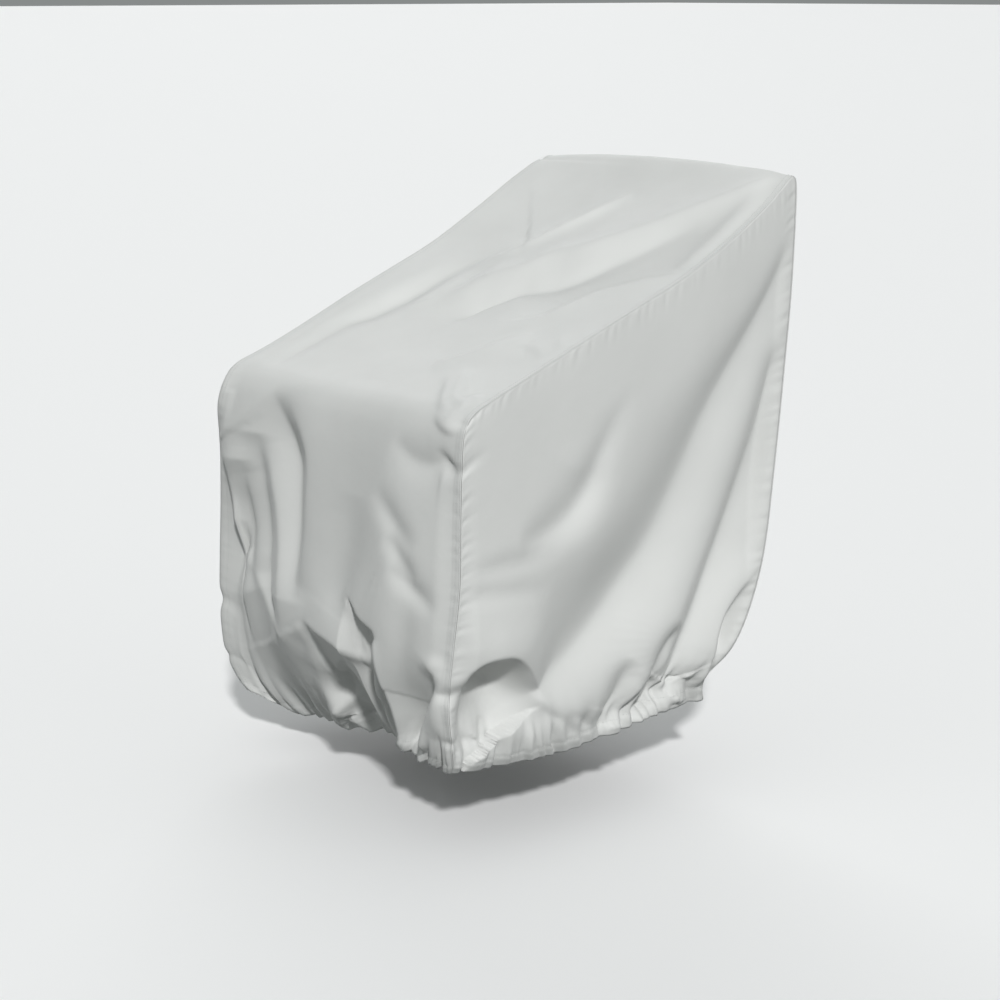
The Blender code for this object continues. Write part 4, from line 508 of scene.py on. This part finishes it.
def side_base(a, b, side):
    """Side panel spanned between its front edge, arm edge, back edge and hem."""
    def edge(s):
        return seam_point(s, side, inset=THICK, under=SEAM_GAP)
    front = edge(b * S_SHOULDER)
    back = edge(LENGTH - (LENGTH - S_RIDGE) * b)
    arm = edge(S_SHOULDER + (S_RIDGE - S_SHOULDER) * a)
    corners = [edge(np.full_like(a, s)) for s in (0.0, LENGTH, S_SHOULDER, S_RIDGE)]
    a1, b1 = a[..., None], b[..., None]
    hem = corners[0] * (1 - a1) + corners[1] * a1
    p = (front * (1 - a1) + back * a1 + hem * (1 - b1) + arm * b1
         - corners[0] * (1 - a1) * (1 - b1) - corners[1] * a1 * (1 - b1)
         - corners[2] * (1 - a1) * b1 - corners[3] * a1 * b1)
    p[..., 0] += side * SIDE_BELLY * 16 * a * (1 - a) * b * (1 - b)
    p[..., 0] += side * SKIRT_OUT * 4 * a * (1 - a) * (1 - smooth(b / 0.32))
    if side > 0:
        p[..., 2] += lookup(HEM_RAISE, a) * (1 - smooth(b / 0.25))
    return p + notch(b * S_SHOULDER, side, a * 0.60)


# ------------------------------------------------------------------------- folds
def fold_height(points, laid):
    """Sum of all folds at the given flat points."""
    total = np.zeros(len(points))
    for sharp, flat, values in laid:
        h, lo, hi = values.T * 1e-3
        reach = 3.2 * max(lo.max(), hi.max())
        near = np.all((points > flat.min(0) - reach) & (points < flat.max(0) + reach), axis=1)
        pts = points[near]
        best = np.full(len(pts), 1e9)
        value = np.zeros(len(pts))
        for k in range(len(flat) - 1):
            p0, d = flat[k], flat[k + 1] - flat[k]
            rel = pts - p0
            t = np.clip((rel @ d) / (d @ d + 1e-12), 0, 1)
            off = rel - t[:, None] * d
            dist = np.hypot(off[:, 0], off[:, 1])
            cross = d[0] * rel[:, 1] - d[1] * rel[:, 0]
            width = np.where(cross > 0, hi[k] + (hi[k + 1] - hi[k]) * t,
                             lo[k] + (lo[k + 1] - lo[k]) * t)
            soft = np.sqrt(dist * dist + 0.003 ** 2) - 0.003
            here = (h[k] + (h[k + 1] - h[k]) * t) * np.exp(-(soft / width) ** sharp)
            value = np.where(dist < best, here, value)
            best = np.minimum(best, dist)
        total[near] += value
    return total


def turn_height(points, laid):
    """Cloth that turns under below a line: it falls away over the reach, by a
    depth that changes evenly between the rows of the line."""
    total = np.zeros(len(points))
    for reach, flat, values in laid:
        best = np.full(len(points), 1e9)
        fall, depth, share = np.zeros(len(points)), np.zeros(len(points)), np.zeros(len(points))
        for k in range(len(flat) - 1):
            d = flat[k + 1] - flat[k]
            rel = points - flat[k]
            raw = (rel @ d) / (d @ d + 1e-12)
            t = np.clip(raw, 0, 1)
            off = rel - t[:, None] * d
            dist = np.hypot(off[:, 0], off[:, 1])
            cross = d[0] * rel[:, 1] - d[1] * rel[:, 0]
            beyond = (raw < 0) & (k == 0) | (raw > 1) & (k == len(flat) - 2)
            away = np.where(beyond, abs(cross) / math.sqrt(d @ d + 1e-12) * np.exp(-(dist / 0.04) ** 2), dist)
            fall = np.where(dist < best, np.where(cross < 0, np.sqrt(away ** 2 + 0.004 ** 2) - 0.004, 0.0), fall)
            best = np.minimum(best, dist)
            weight = math.sqrt(d @ d) / (dist ** 2 + 0.012 ** 2) ** 1.5
            depth += weight * (values[k, 0] + (values[k + 1, 0] - values[k, 0]) * t) * 1e-3
            share += weight
        part = fall / (reach * 1e-3)
        total -= depth / share * part / (1 + part ** 3) ** (1 / 3)
    return total


def tuck_height(points, laid):
    """Cloth drawn in evenly from the tuck line down to the hem."""
    total = np.zeros(len(points))
    for _kind, line, depth in laid:
        x = np.maximum.accumulate(line[:, 0]) + 1e-6 * np.arange(len(line))
        at = np.maximum(np.interp(points[:, 0], x, line[:, 1]), 0.01)
        below = np.maximum(at - points[:, 1], 0)
        below = (np.sqrt(below ** 2 + 0.004 ** 2) - 0.004) / at
        total -= np.interp(points[:, 0], x, depth[:, 0]) * 1e-3 * (1.35 * below - 0.35 * below ** 2)
    return total


def seen(p):
    """Slopes of the line from READ_FROM to a point."""
    along = (p - READ_FROM) @ READ_AXES.T
    return along[..., :2] / along[..., 2:]


def settle(folds, turns, tucks, swells, place, plain, calm, raised):
    """Lay the fold lines on the flat panel. The tables give the place of a line on
    the plain panel; it is moved until the raised cloth lies in line with that."""
    every_row = folds + turns + tucks
    cut = len(folds), len(folds) + len(turns)
    tables = [catmull_rom(rows, 8) for _name, _kind, rows in every_row]
    start = [place(t[:, 0], t[:, 1]) for t in tables]
    target = np.concatenate([seen(plain(t[:, 0], t[:, 1])) for t in tables])
    moved = np.concatenate([t[:, 1] < S_RIDGE + 0.02 for t in tables])[:, None]
    cuts = np.cumsum([len(t) for t in tables])[:-1]
    lines, move = start, 0.0 * target
    for _round in range(7):
        laid = [(row[1], line, t[:, 2:]) for row, line, t in zip(every_row, lines, tables)]
        laid = laid[:cut[0]], laid[cut[0]:cut[1]], laid[cut[1]:]
        if _round == 6 or raised is None:
            return laid
        flat = np.concatenate(lines)
        h = (fold_height(flat, laid[0]) + turn_height(flat, laid[1]) + swell_height(flat, swells, place)) * calm(flat)
        tuck = tuck_height(flat, laid[2])
        now = seen(raised(flat, h, tuck))
        e = 0.002
        du = (seen(raised(flat + [e, 0], h, tuck)) - now) / e
        dv = (seen(raised(flat + [0, e], h, tuck)) - now) / e
        miss = target - now
        det = du[:, 0] * dv[:, 1] - du[:, 1] * dv[:, 0]
        det = np.where(det < 0, -1.0, 1.0) * np.maximum(abs(det), 0.01)
        step = np.stack([miss[:, 0] * dv[:, 1] - miss[:, 1] * dv[:, 0],
                         du[:, 0] * miss[:, 1] - du[:, 1] * miss[:, 0]], axis=-1) / det[:, None]
        move = move + np.clip(step, -0.03, 0.03) * moved
        lines = []
        for from_, by in zip(start, np.split(move, cuts)):
            padded = np.pad(by, ((9, 9), (0, 0)), mode="edge")
            even = [np.convolve(padded[:, k], np.hanning(21)[1:-1] / np.hanning(21).sum(), mode="valid")
                    for k in (0, 1)]
            lines.append(from_ + np.stack(even, axis=-1))
        move = np.concatenate(lines) - np.concatenate(start)


def swell_height(points, swells, place):
    total = np.zeros(len(points))
    for u, v, h, across, along in swells:
        c = place(np.array([u]), np.array([v]))[0]
        d = (points - c) / (np.array([across, along]) * 1e-3)
        total += h * 1e-3 * np.exp(-(d ** 2).sum(1))
    return total


def waves(x, table, seed):
    """Uneven ripple: a few sines whose phases wander."""
    out = 0.0
    for k, (length, share) in enumerate(table):
        wander = 1.3 * np.sin(2 * math.pi * x / (length * 5.3) + seed * 1.7 + k)
        out = out + share * np.sin(2 * math.pi * x / length + wander + seed * (k + 1.3))
    return out


def gathers(along, up, seed):
    """Gathers of the hem elastic: fine in the band, coarser and softer above it."""
    along = along + 0.35 * up * np.sin(2 * math.pi * along / 0.31 + seed)      # they lean
    fine = waves(along, [(0.0113, 0.8), (0.0171, 1.0), (0.0262, 0.8)], seed)
    mid = waves(along, [(0.023, 0.7), (0.034, 1.0), (0.051, 0.7)], seed + 2)
    wide = waves(along, [(0.083, 1.0), (0.131, 0.8)], seed + 4)
    amount = 0.55 + 0.45 * np.sin(2 * math.pi * along / 0.23 + seed)
    band = np.exp(-((up - 0.016) / 0.018) ** 2)
    return (0.0016 * fine * band * amount
            + 0.0034 * mid * np.exp(-((up - 0.022) / 0.034) ** 2) * (0.6 + 0.4 * amount)
            + 0.0028 * wide * np.exp(-((up - 0.03) / 0.06) ** 2))


def felled(off, width=0.0115):
    """The seam allowance folded under beside a seam: a band that stands a little
    proud, with a dip in each of its two stitch rows."""
    band = 0.0007 * (1 - smooth((off - width) / 0.0016))
    for row in (0.0022, 0.0095):
        band = band - 0.0006 * np.exp(-((off - row) / 0.0011) ** 2)
    return band


def casing(up, along, seed):
    """The turned-up hem that holds the elastic, with a dip at its stitch row."""
    return (0.0006 * (1 - smooth((up - 0.0185) / 0.0018))
            - 0.0012 * np.exp(-((up - 0.0175) / 0.0022) ** 2)
            + 0.0004 * waves(along, [(0.0062, 1.0), (0.0093, 0.8)], seed) * np.exp(-((up - 0.0175) / 0.006) ** 2))


def puckers(along, off, seed, strength=1.0):
    """Small cross wrinkles that the stitching draws beside a seam."""
    ripple = waves(along, [(0.0137, 0.8), (0.0213, 1.0), (0.0371, 0.7)], seed)
    return 0.0011 * strength * ripple * np.exp(-(off / 0.016) ** 2) * smooth(off / 0.004 + 0.35)


def normals(base, u, v):
    e = 0.004
    du = base(np.clip(u + e, -1, 1), v) - base(np.clip(u - e, -1, 1), v)
    dv = base(u, v + e) - base(u, v - e)
    n = np.cross(du, dv)
    return n / np.linalg.norm(n, axis=-1, keepdims=True)


def main_place(u, s):
    return np.stack([u * HALF, s], axis=-1)


def main_calm(u, s):
    return (smooth((1 - abs(u)) * HALF / np.where((u < 0) & (s < 0.5), 0.025, 0.04))
            * (0.5 + 0.5 * smooth(np.minimum(s, LENGTH - s) / 0.03)))


def main_plain(u, s):
    """Plain panel on which the places of the folds were read."""
    yz, n, lift = seam_yz(s), seam_normal(s), np.interp(s, LIFT_LINE[:, 0], LIFT_LINE[:, 1]) * (1 - u * u)
    return np.stack([u * lookup(PLAIN, s), yz[:, 0] + n[:, 0] * lift, yz[:, 1] + n[:, 1] * lift], axis=-1)


def main_raised(flat, h, tuck):
    """Points of the main panel that stand h out from it and are drawn in by tuck."""
    u, s = flat[:, 0] / HALF, np.clip(flat[:, 1], 0, LENGTH)
    n = seam_normal(s)
    p = main_base(u, s)
    p[:, 1] += n[:, 0] * h - tuck
    p[:, 2] += n[:, 1] * h + TUCK_DROP * tuck
    return p


def side_calm(a, b):
    rim = np.minimum(np.minimum(a, 1 - a) * 0.60, (1 - b) * 0.55)
    return smooth(rim / EDGE_CALM) * (0.6 + 0.4 * smooth(b * 0.55 / 0.03))


def side_raised(flat, h, _tuck):
    """Points of the right side panel from its y and z, standing h out."""
    a, b = side_ab(flat)
    p = side_base(a, b, 1)
    return np.stack([p[:, 0] + h, flat[:, 0], flat[:, 1]], axis=-1)


def side_ab(flat):
    """a and b of a place given by y and z, by stepping towards it."""
    a, b = np.full(len(flat), 0.5), np.full(len(flat), 0.5)
    for _step in range(12):
        p, e = side_base(a, b, 1)[:, 1:], 1e-3
        pa = (side_base(a + e, b, 1)[:, 1:] - p) / e
        pb = (side_base(a, b + e, 1)[:, 1:] - p) / e
        miss = flat - p
        det = pa[:, 0] * pb[:, 1] - pa[:, 1] * pb[:, 0]
        a = np.clip(a + (miss[:, 0] * pb[:, 1] - miss[:, 1] * pb[:, 0]) / det, -0.1, 1.1)
        b = np.clip(b + (pa[:, 0] * miss[:, 1] - pa[:, 1] * miss[:, 0]) / det, -0.1, 1.1)
    return a, b


LAID_MAIN = settle(FOLDS_MAIN, TURNS_MAIN, [("tuck of the lower front", 0, TUCK)], SWELLS_MAIN, main_place,
                   main_plain, lambda flat: main_calm(np.clip(flat[:, 0] / HALF, -1, 1), flat[:, 1]), main_raised)
LAID_SIDE = {
    1: settle(FOLDS_RIGHT, TURNS_RIGHT, [], SWELLS_RIGHT, lambda a, b: side_base(a, b, 1)[..., 1:],
              lambda a, b: side_base(a, b, 1), lambda flat: side_calm(*side_ab(flat)), side_raised),
    -1: settle(FOLDS_LEFT, [], [], SWELLS_LEFT, lambda a, b: side_base(a, b, -1)[..., 1:],
               lambda a, b: side_base(a, b, -1), None, None),
}


def main_panel(u, s):
    flat = main_place(u, s)
    off = (1 - abs(u)) * HALF
    hem = np.minimum(s, LENGTH - s)
    turned = turn_height(flat, LAID_MAIN[1]) * smooth(off / 0.04)
    tuck = tuck_height(flat, LAID_MAIN[2]) * smooth(off / 0.035)
    h = fold_height(flat, LAID_MAIN[0]) + swell_height(flat, SWELLS_MAIN, main_place)
    h = h * main_calm(u, s) + turned
    h += np.where(s < 1.0, gathers(flat[:, 0], hem, 1.0), gathers(flat[:, 0], hem, 5.0)) * smooth(off / 0.012)
    h += np.where(u > 0, puckers(s, off, 2.0, 0.25), puckers(s, off, 7.0, 0.25)) * smooth(off / 0.006)
    h += felled(off) * (1 - 0.75 * smooth((s - 0.50) / 0.05) * smooth((1.30 - s) / 0.05)) + casing(hem, flat[:, 0], np.where(s < 1.0, 1.5, 3.5)) * smooth(off / 0.004)

    def base(x, y):
        return main_base(x, np.clip(y, 0, LENGTH))
    p = base(u, s) + normals(base, u, s) * h[:, None]
    p[:, 1] -= tuck
    p[:, 2] += TUCK_DROP * tuck
    return p


def side_panel(a, b, side):
    swells = SWELLS_RIGHT if side > 0 else SWELLS_LEFT

    def place(fa, fb):
        return side_base(fa, fb, side)[..., 1:]
    flat = place(a, b)
    rim = np.minimum(np.minimum(a, 1 - a) * 0.60, (1 - b) * 0.55)
    up = b * 0.55
    h = fold_height(flat, LAID_SIDE[side][0]) + swell_height(flat, swells, place)
    h *= side_calm(a, b)
    h += turn_height(flat, LAID_SIDE[side][1]) * smooth(rim / 0.040) * (0.35 + 0.65 * smooth(up / 0.10))
    h += gathers(a * 0.53, up, 3.0 + side) * smooth(rim / 0.012)
    front, back, arm = a * 0.60, (1 - a) * 0.60, (1 - b) * 0.55
    h += casing(up, a * 0.53, 5.5) * smooth(rim / 0.004)
    h += puckers(b * 0.55, front, 1.0 + side, 0.4) * smooth(front / 0.006) * smooth(arm / 0.02)
    h += puckers(b * 0.85, back, 2.0 + side, 0.5) * smooth(back / 0.006) * smooth(arm / 0.02)
    h += puckers(a * 0.75, arm, 4.0 + side, 0.4) * smooth(arm / 0.006)
    p = side_base(a, b, side)
    p[:, 0] += side * h
    return p


def steps(*stretches):
    """Stations from stretches of (start, end, cell size)."""
    out = [np.array([stretches[0][0]])]
    for start, end, cell in stretches:
        count = max(1, round((end - start) / cell))
        out.append(np.linspace(start, end, count + 1)[1:])
    return np.concatenate(out)


def stitches(name, rows, panel, outward, pitch=0.0042, length=0.0030, radius=0.00034):
    """Rows of stitches lying on a panel along lines (u, v): short threads, all
    joined to one piece."""
    bm = bmesh.new()
    parts = np.array([-0.5, -0.25, 0.25, 0.5]) * length
    thick = np.array([0.35, 1.0, 1.0, 0.35])
    for u, v in rows:
        e = 1e-3
        p = panel(u, v)
        n = np.cross(panel(u + e, v) - panel(u - e, v), panel(u, v + e) - panel(u, v - e)) * outward
        n /= np.linalg.norm(n, axis=1, keepdims=True) + 1e-12
        run = np.concatenate([[0.0], np.cumsum(np.linalg.norm(np.diff(p, axis=0), axis=1))])
        at = ((np.arange(int(run[-1] / pitch)) + 0.5) * pitch)[:, None] + parts

        def read(x, table):
            return np.stack([np.interp(x, run, table[:, k]) for k in range(3)], axis=-1)
        c, nn = read(at, p), read(at, n)
        d = read(at + 5e-4, p) - read(at - 5e-4, p)
        d /= np.linalg.norm(d, axis=-1, keepdims=True) + 1e-12
        side = np.cross(d, nn)
        c = c + nn * (THICK + 0.0001 - 0.0003 * (thick < 1))[:, None] - ORIGIN
        for i in range(len(at)):
            ring = [[bm.verts.new(c[i, j] + radius * thick[j] * (side[i, j] * math.cos(q) + nn[i, j] * math.sin(q)))
                     for q in (0.0, math.pi * 2 / 3, math.pi * 4 / 3)] for j in range(4)]
            for a, b in zip(ring[:-1], ring[1:]):
                for k in range(3):
                    bm.faces.new((a[k], a[(k + 1) % 3], b[(k + 1) % 3], b[k]))
            bm.faces.new(ring[0][::-1])
            bm.faces.new(ring[-1])
    bmesh.ops.recalc_face_normals(bm, faces=bm.faces)
    mesh = bpy.data.meshes.new(name)
    bm.to_mesh(mesh)
    bm.free()
    mesh.shade_smooth()
    mesh.materials.append(THREAD)
    obj = bpy.data.objects.new(name, mesh)
    bpy.context.scene.collection.objects.link(obj)
    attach(obj, "root")
    return obj


# -------------------------------------------------------------------- materials
def cloth_material():
    mat = bpy.data.materials.new("silver_grey_polyester")
    mat.use_nodes = True
    nodes, links = mat.node_tree.nodes, mat.node_tree.links
    shader = nodes["Principled BSDF"]
    shader.inputs["Roughness"].default_value = 0.58
    shader.inputs["Specular IOR Level"].default_value = 0.35
    shader.inputs["Sheen Weight"].default_value = 0.12
    shader.inputs["Sheen Roughness"].default_value = 0.45

    def node(kind, **values):
        n = nodes.new(kind)
        for key, value in values.items():
            setattr(n, key, value)
        return n
    uv = node("ShaderNodeUVMap", uv_map="cloth")

    # colour: a little mottling of the dye and coating
    noise = node("ShaderNodeTexNoise")
    noise.inputs["Scale"].default_value = 7.0
    noise.inputs["Detail"].default_value = 5.0
    links.new(uv.outputs["UV"], noise.inputs["Vector"])
    ramp = node("ShaderNodeValToRGB")
    ramp.color_ramp.elements[0].position = 0.3
    ramp.color_ramp.elements[0].color = (0.606, 0.612, 0.598, 1)
    ramp.color_ramp.elements[1].position = 0.7
    ramp.color_ramp.elements[1].color = (0.640, 0.646, 0.632, 1)
    links.new(noise.outputs["Fac"], ramp.inputs["Fac"])
    links.new(ramp.outputs["Color"], shader.inputs["Base Color"])

    # weave: two crossed thread waves, one millimetre a pair, with slubs
    threads = []
    for axis in ("X", "Y"):
        wave = node("ShaderNodeTexWave", wave_type="BANDS", bands_direction=axis)
        wave.inputs["Scale"].default_value = 314.0
        wave.inputs["Distortion"].default_value = 0.6
        wave.inputs["Detail"].default_value = 1.0
        links.new(uv.outputs["UV"], wave.inputs["Vector"])
        threads.append(wave)
    weave = node("ShaderNodeMath", operation="MULTIPLY")
    links.new(threads[0].outputs["Fac"], weave.inputs[0])
    links.new(threads[1].outputs["Fac"], weave.inputs[1])
    crumple = node("ShaderNodeTexNoise")
    crumple.inputs["Scale"].default_value = 34.0
    crumple.inputs["Detail"].default_value = 4.0
    crumple.inputs["Roughness"].default_value = 0.55
    links.new(uv.outputs["UV"], crumple.inputs["Vector"])
    fine = node("ShaderNodeBump")
    fine.inputs["Strength"].default_value = 0.25
    fine.inputs["Distance"].default_value = 0.0002
    links.new(weave.outputs["Value"], fine.inputs["Height"])
    broad = node("ShaderNodeBump")
    broad.inputs["Strength"].default_value = 0.35
    broad.inputs["Distance"].default_value = 0.0012
    links.new(crumple.outputs["Fac"], broad.inputs["Height"])
    links.new(fine.outputs["Normal"], broad.inputs["Normal"])
    links.new(broad.outputs["Normal"], shader.inputs["Normal"])
    return mat


def plain_material(name, colour, rough):
    mat = bpy.data.materials.new(name)
    mat.use_nodes = True
    shader = mat.node_tree.nodes["Principled BSDF"]
    shader.inputs["Base Color"].default_value = (*colour, 1)
    shader.inputs["Roughness"].default_value = rough
    return mat


# ------------------------------------------------------------------- the pieces
def cloth_piece(name, across, along, shape, flat, material, flip=False):
    nx, ny = len(across) - 1, len(along) - 1
    bm = bmesh.new()
    bmesh.ops.create_grid(bm, x_segments=nx, y_segments=ny, size=0.5)
    if flip:
        bmesh.ops.reverse_faces(bm, faces=bm.faces)
    mesh = bpy.data.meshes.new(name)
    bm.to_mesh(mesh)
    bm.free()
    co = np.empty(len(mesh.vertices) * 3, np.float32)
    mesh.vertices.foreach_get("co", co)
    co = co.reshape(-1, 3)
    i = np.rint((co[:, 0] + 0.5) * nx).astype(int)
    j = np.rint((co[:, 1] + 0.5) * ny).astype(int)
    pts = shape(across[i], along[j]) - ORIGIN
    mesh.vertices.foreach_set("co", pts.astype(np.float32).ravel())
    uv = mesh.uv_layers.new(name="cloth")
    loops = np.empty(len(mesh.loops), np.int32)
    mesh.loops.foreach_get("vertex_index", loops)
    uv.data.foreach_set("uv", flat(across[i], along[j])[loops].astype(np.float32).ravel())
    mesh.materials.append(material)
    mesh.update()
    mesh.shade_smooth()
    obj = bpy.data.objects.new(name, mesh)
    bpy.context.scene.collection.objects.link(obj)
    solid = obj.modifiers.new("cloth_thickness", "SOLIDIFY")
    solid.thickness = THICK
    solid.offset = 1.0
    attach(obj, "root")
    return obj


cloth = cloth_material()
THREAD = plain_material("grey_thread", (0.50, 0.515, 0.505), 0.7)

rows = steps((0, 0.60, 0.0036), (0.60, 1.23, 0.0060), (1.23, 1.32, 0.0055), (1.32, LENGTH - 0.12, 0.010),
             (LENGTH - 0.12, LENGTH, 0.006))
edge_u = np.array([0.0, 0.0022, 0.0045, 0.0072, 0.0095, 0.0115, 0.0135, 0.0165, 0.0200]) / HALF
across = np.concatenate([-1 + edge_u, np.linspace(-1 + 0.0245 / HALF, 1 - 0.0245 / HALF, 113), 1 - edge_u[::-1]])
main_cloth = cloth_piece("cloth_main", across, rows, main_panel,
                         lambda u, s: np.stack([u * HALF, s], axis=-1), cloth)
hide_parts("panel_main")

for name, node, side in (("cloth_side_right", "panel_side_right", 1), ("cloth_side_left", "panel_side_left", -1)):
    cell = 1.0 if side > 0 else 1.7
    a = steps((0, 0.06, 0.0040 * cell), (0.06, 0.94, 0.0052 * cell), (0.94, 1, 0.0045 * cell))
    b = steps((0, 0.32, 0.0046 * cell), (0.32, 0.95, 0.0062 * cell), (0.95, 1, 0.0045 * cell))
    piece = cloth_piece(name, a, b, lambda x, y, side=side: side_panel(x, y, side),
                        lambda x, y, side=side: np.stack([side * (x * 0.62 + 1.0), y * 0.66], axis=-1),
                        cloth, flip=side < 0)
    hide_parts(node)

# Stitches, joined to one piece for each panel. The rows follow the seams a few
# millimetres inside them and the top of the hem casing.
s_run = np.linspace(0.004, LENGTH - 0.004, 2400)
u_run = np.linspace(-0.985, 0.985, 700)
a_run = np.linspace(0.008, 0.992, 700)
one = np.ones_like
main_rows = [(one(s_run) * side * (1 - off / HALF), s_run) for side in (-1, 1) for off in (0.0022, 0.0095)]
main_rows += [(u_run, one(u_run) * 0.0175), (u_run, one(u_run) * (LENGTH - 0.0175))]
stitches("stitches_main", main_rows, main_panel, 1.0)
for name, side in (("stitches_side_right", 1), ("stitches_side_left", -1)):
    stitches(name, [(a_run, one(a_run) * 0.0175 / 0.55)],
             lambda x, y, side=side: side_panel(x, y, side), float(side))

# ---------------------------------------------------------------- floor and light
scene = bpy.context.scene
bpy.ops.mesh.primitive_plane_add(size=300, location=(0, 0, -float(ORIGIN[2])))
floor = bpy.context.object
floor.name = "floor"
floor.data.materials.append(plain_material("floor_paper", (0.88, 0.88, 0.88), 0.9))
floor.visible_diffuse = False

world = bpy.data.worlds.new("studio")
scene.world = world
world.use_nodes = True
sky = world.node_tree
coord = sky.nodes.new("ShaderNodeTexCoord")
split = sky.nodes.new("ShaderNodeSeparateXYZ")
tones = sky.nodes.new("ShaderNodeValToRGB")
rise = sky.nodes.new("ShaderNodeMath")
rise.operation = "MULTIPLY_ADD"
rise.inputs[1].default_value = 0.5
rise.inputs[2].default_value = 0.5
sky.links.new(coord.outputs["Generated"], split.inputs["Vector"])
sky.links.new(split.outputs["Z"], rise.inputs[0])
sky.links.new(rise.outputs["Value"], tones.inputs["Fac"])
sky.links.new(tones.outputs["Color"], sky.nodes["Background"].inputs["Color"])
tones.color_ramp.elements[0].position = 0.30
tones.color_ramp.elements[0].color = (0.15, 0.161, 0.157, 1)
tones.color_ramp.elements[1].position = 0.75
tones.color_ramp.elements[1].color = (0.37, 0.387, 0.387, 1)


def soft_sun(name, direction, strength, angle, colour=(1, 1, 1)):
    """Light that comes from direction, as a large soft panel far away gives it."""
    light = bpy.data.lights.new(name, "SUN")
    light.energy = strength
    light.angle = math.radians(angle)
    light.color = colour
    obj = bpy.data.objects.new(name, light)
    scene.collection.objects.link(obj)
    obj.rotation_euler = Vector(direction).to_track_quat("Z", "Y").to_euler()


soft_sun("key", (0.672, -0.480, 0.563), 2.55, 4)
soft_sun("fill_from_right", (0.90, 0.35, 0.25), 0.22, 60)
soft_sun("rim_from_back_left", (-0.80, 0.50, 0.33), 0.9, 40)

# ----------------------------------------------------------------------- camera
AZIMUTH, PITCH = math.radians(49.2), math.radians(13.1)
forward = Vector((-math.sin(AZIMUTH) * math.cos(PITCH), math.cos(AZIMUTH) * math.cos(PITCH), -math.sin(PITCH)))
right = Vector((math.cos(AZIMUTH), math.sin(AZIMUTH), 0))
up = right.cross(forward)
camera = bpy.data.cameras.new("camera")
camera.sensor_width, camera.lens = 36.0, 79.0
cam = bpy.data.objects.new("camera", camera)
scene.collection.objects.link(cam)
cam.matrix_world = (Matrix.Translation(Vector((2.572, -2.176, 1.238)) - Vector(ORIGIN))
                    @ Matrix((right, up, -forward)).transposed().to_4x4())
scene.camera = cam
scene.view_settings.view_transform = "Standard"
scene.view_settings.look = "None"
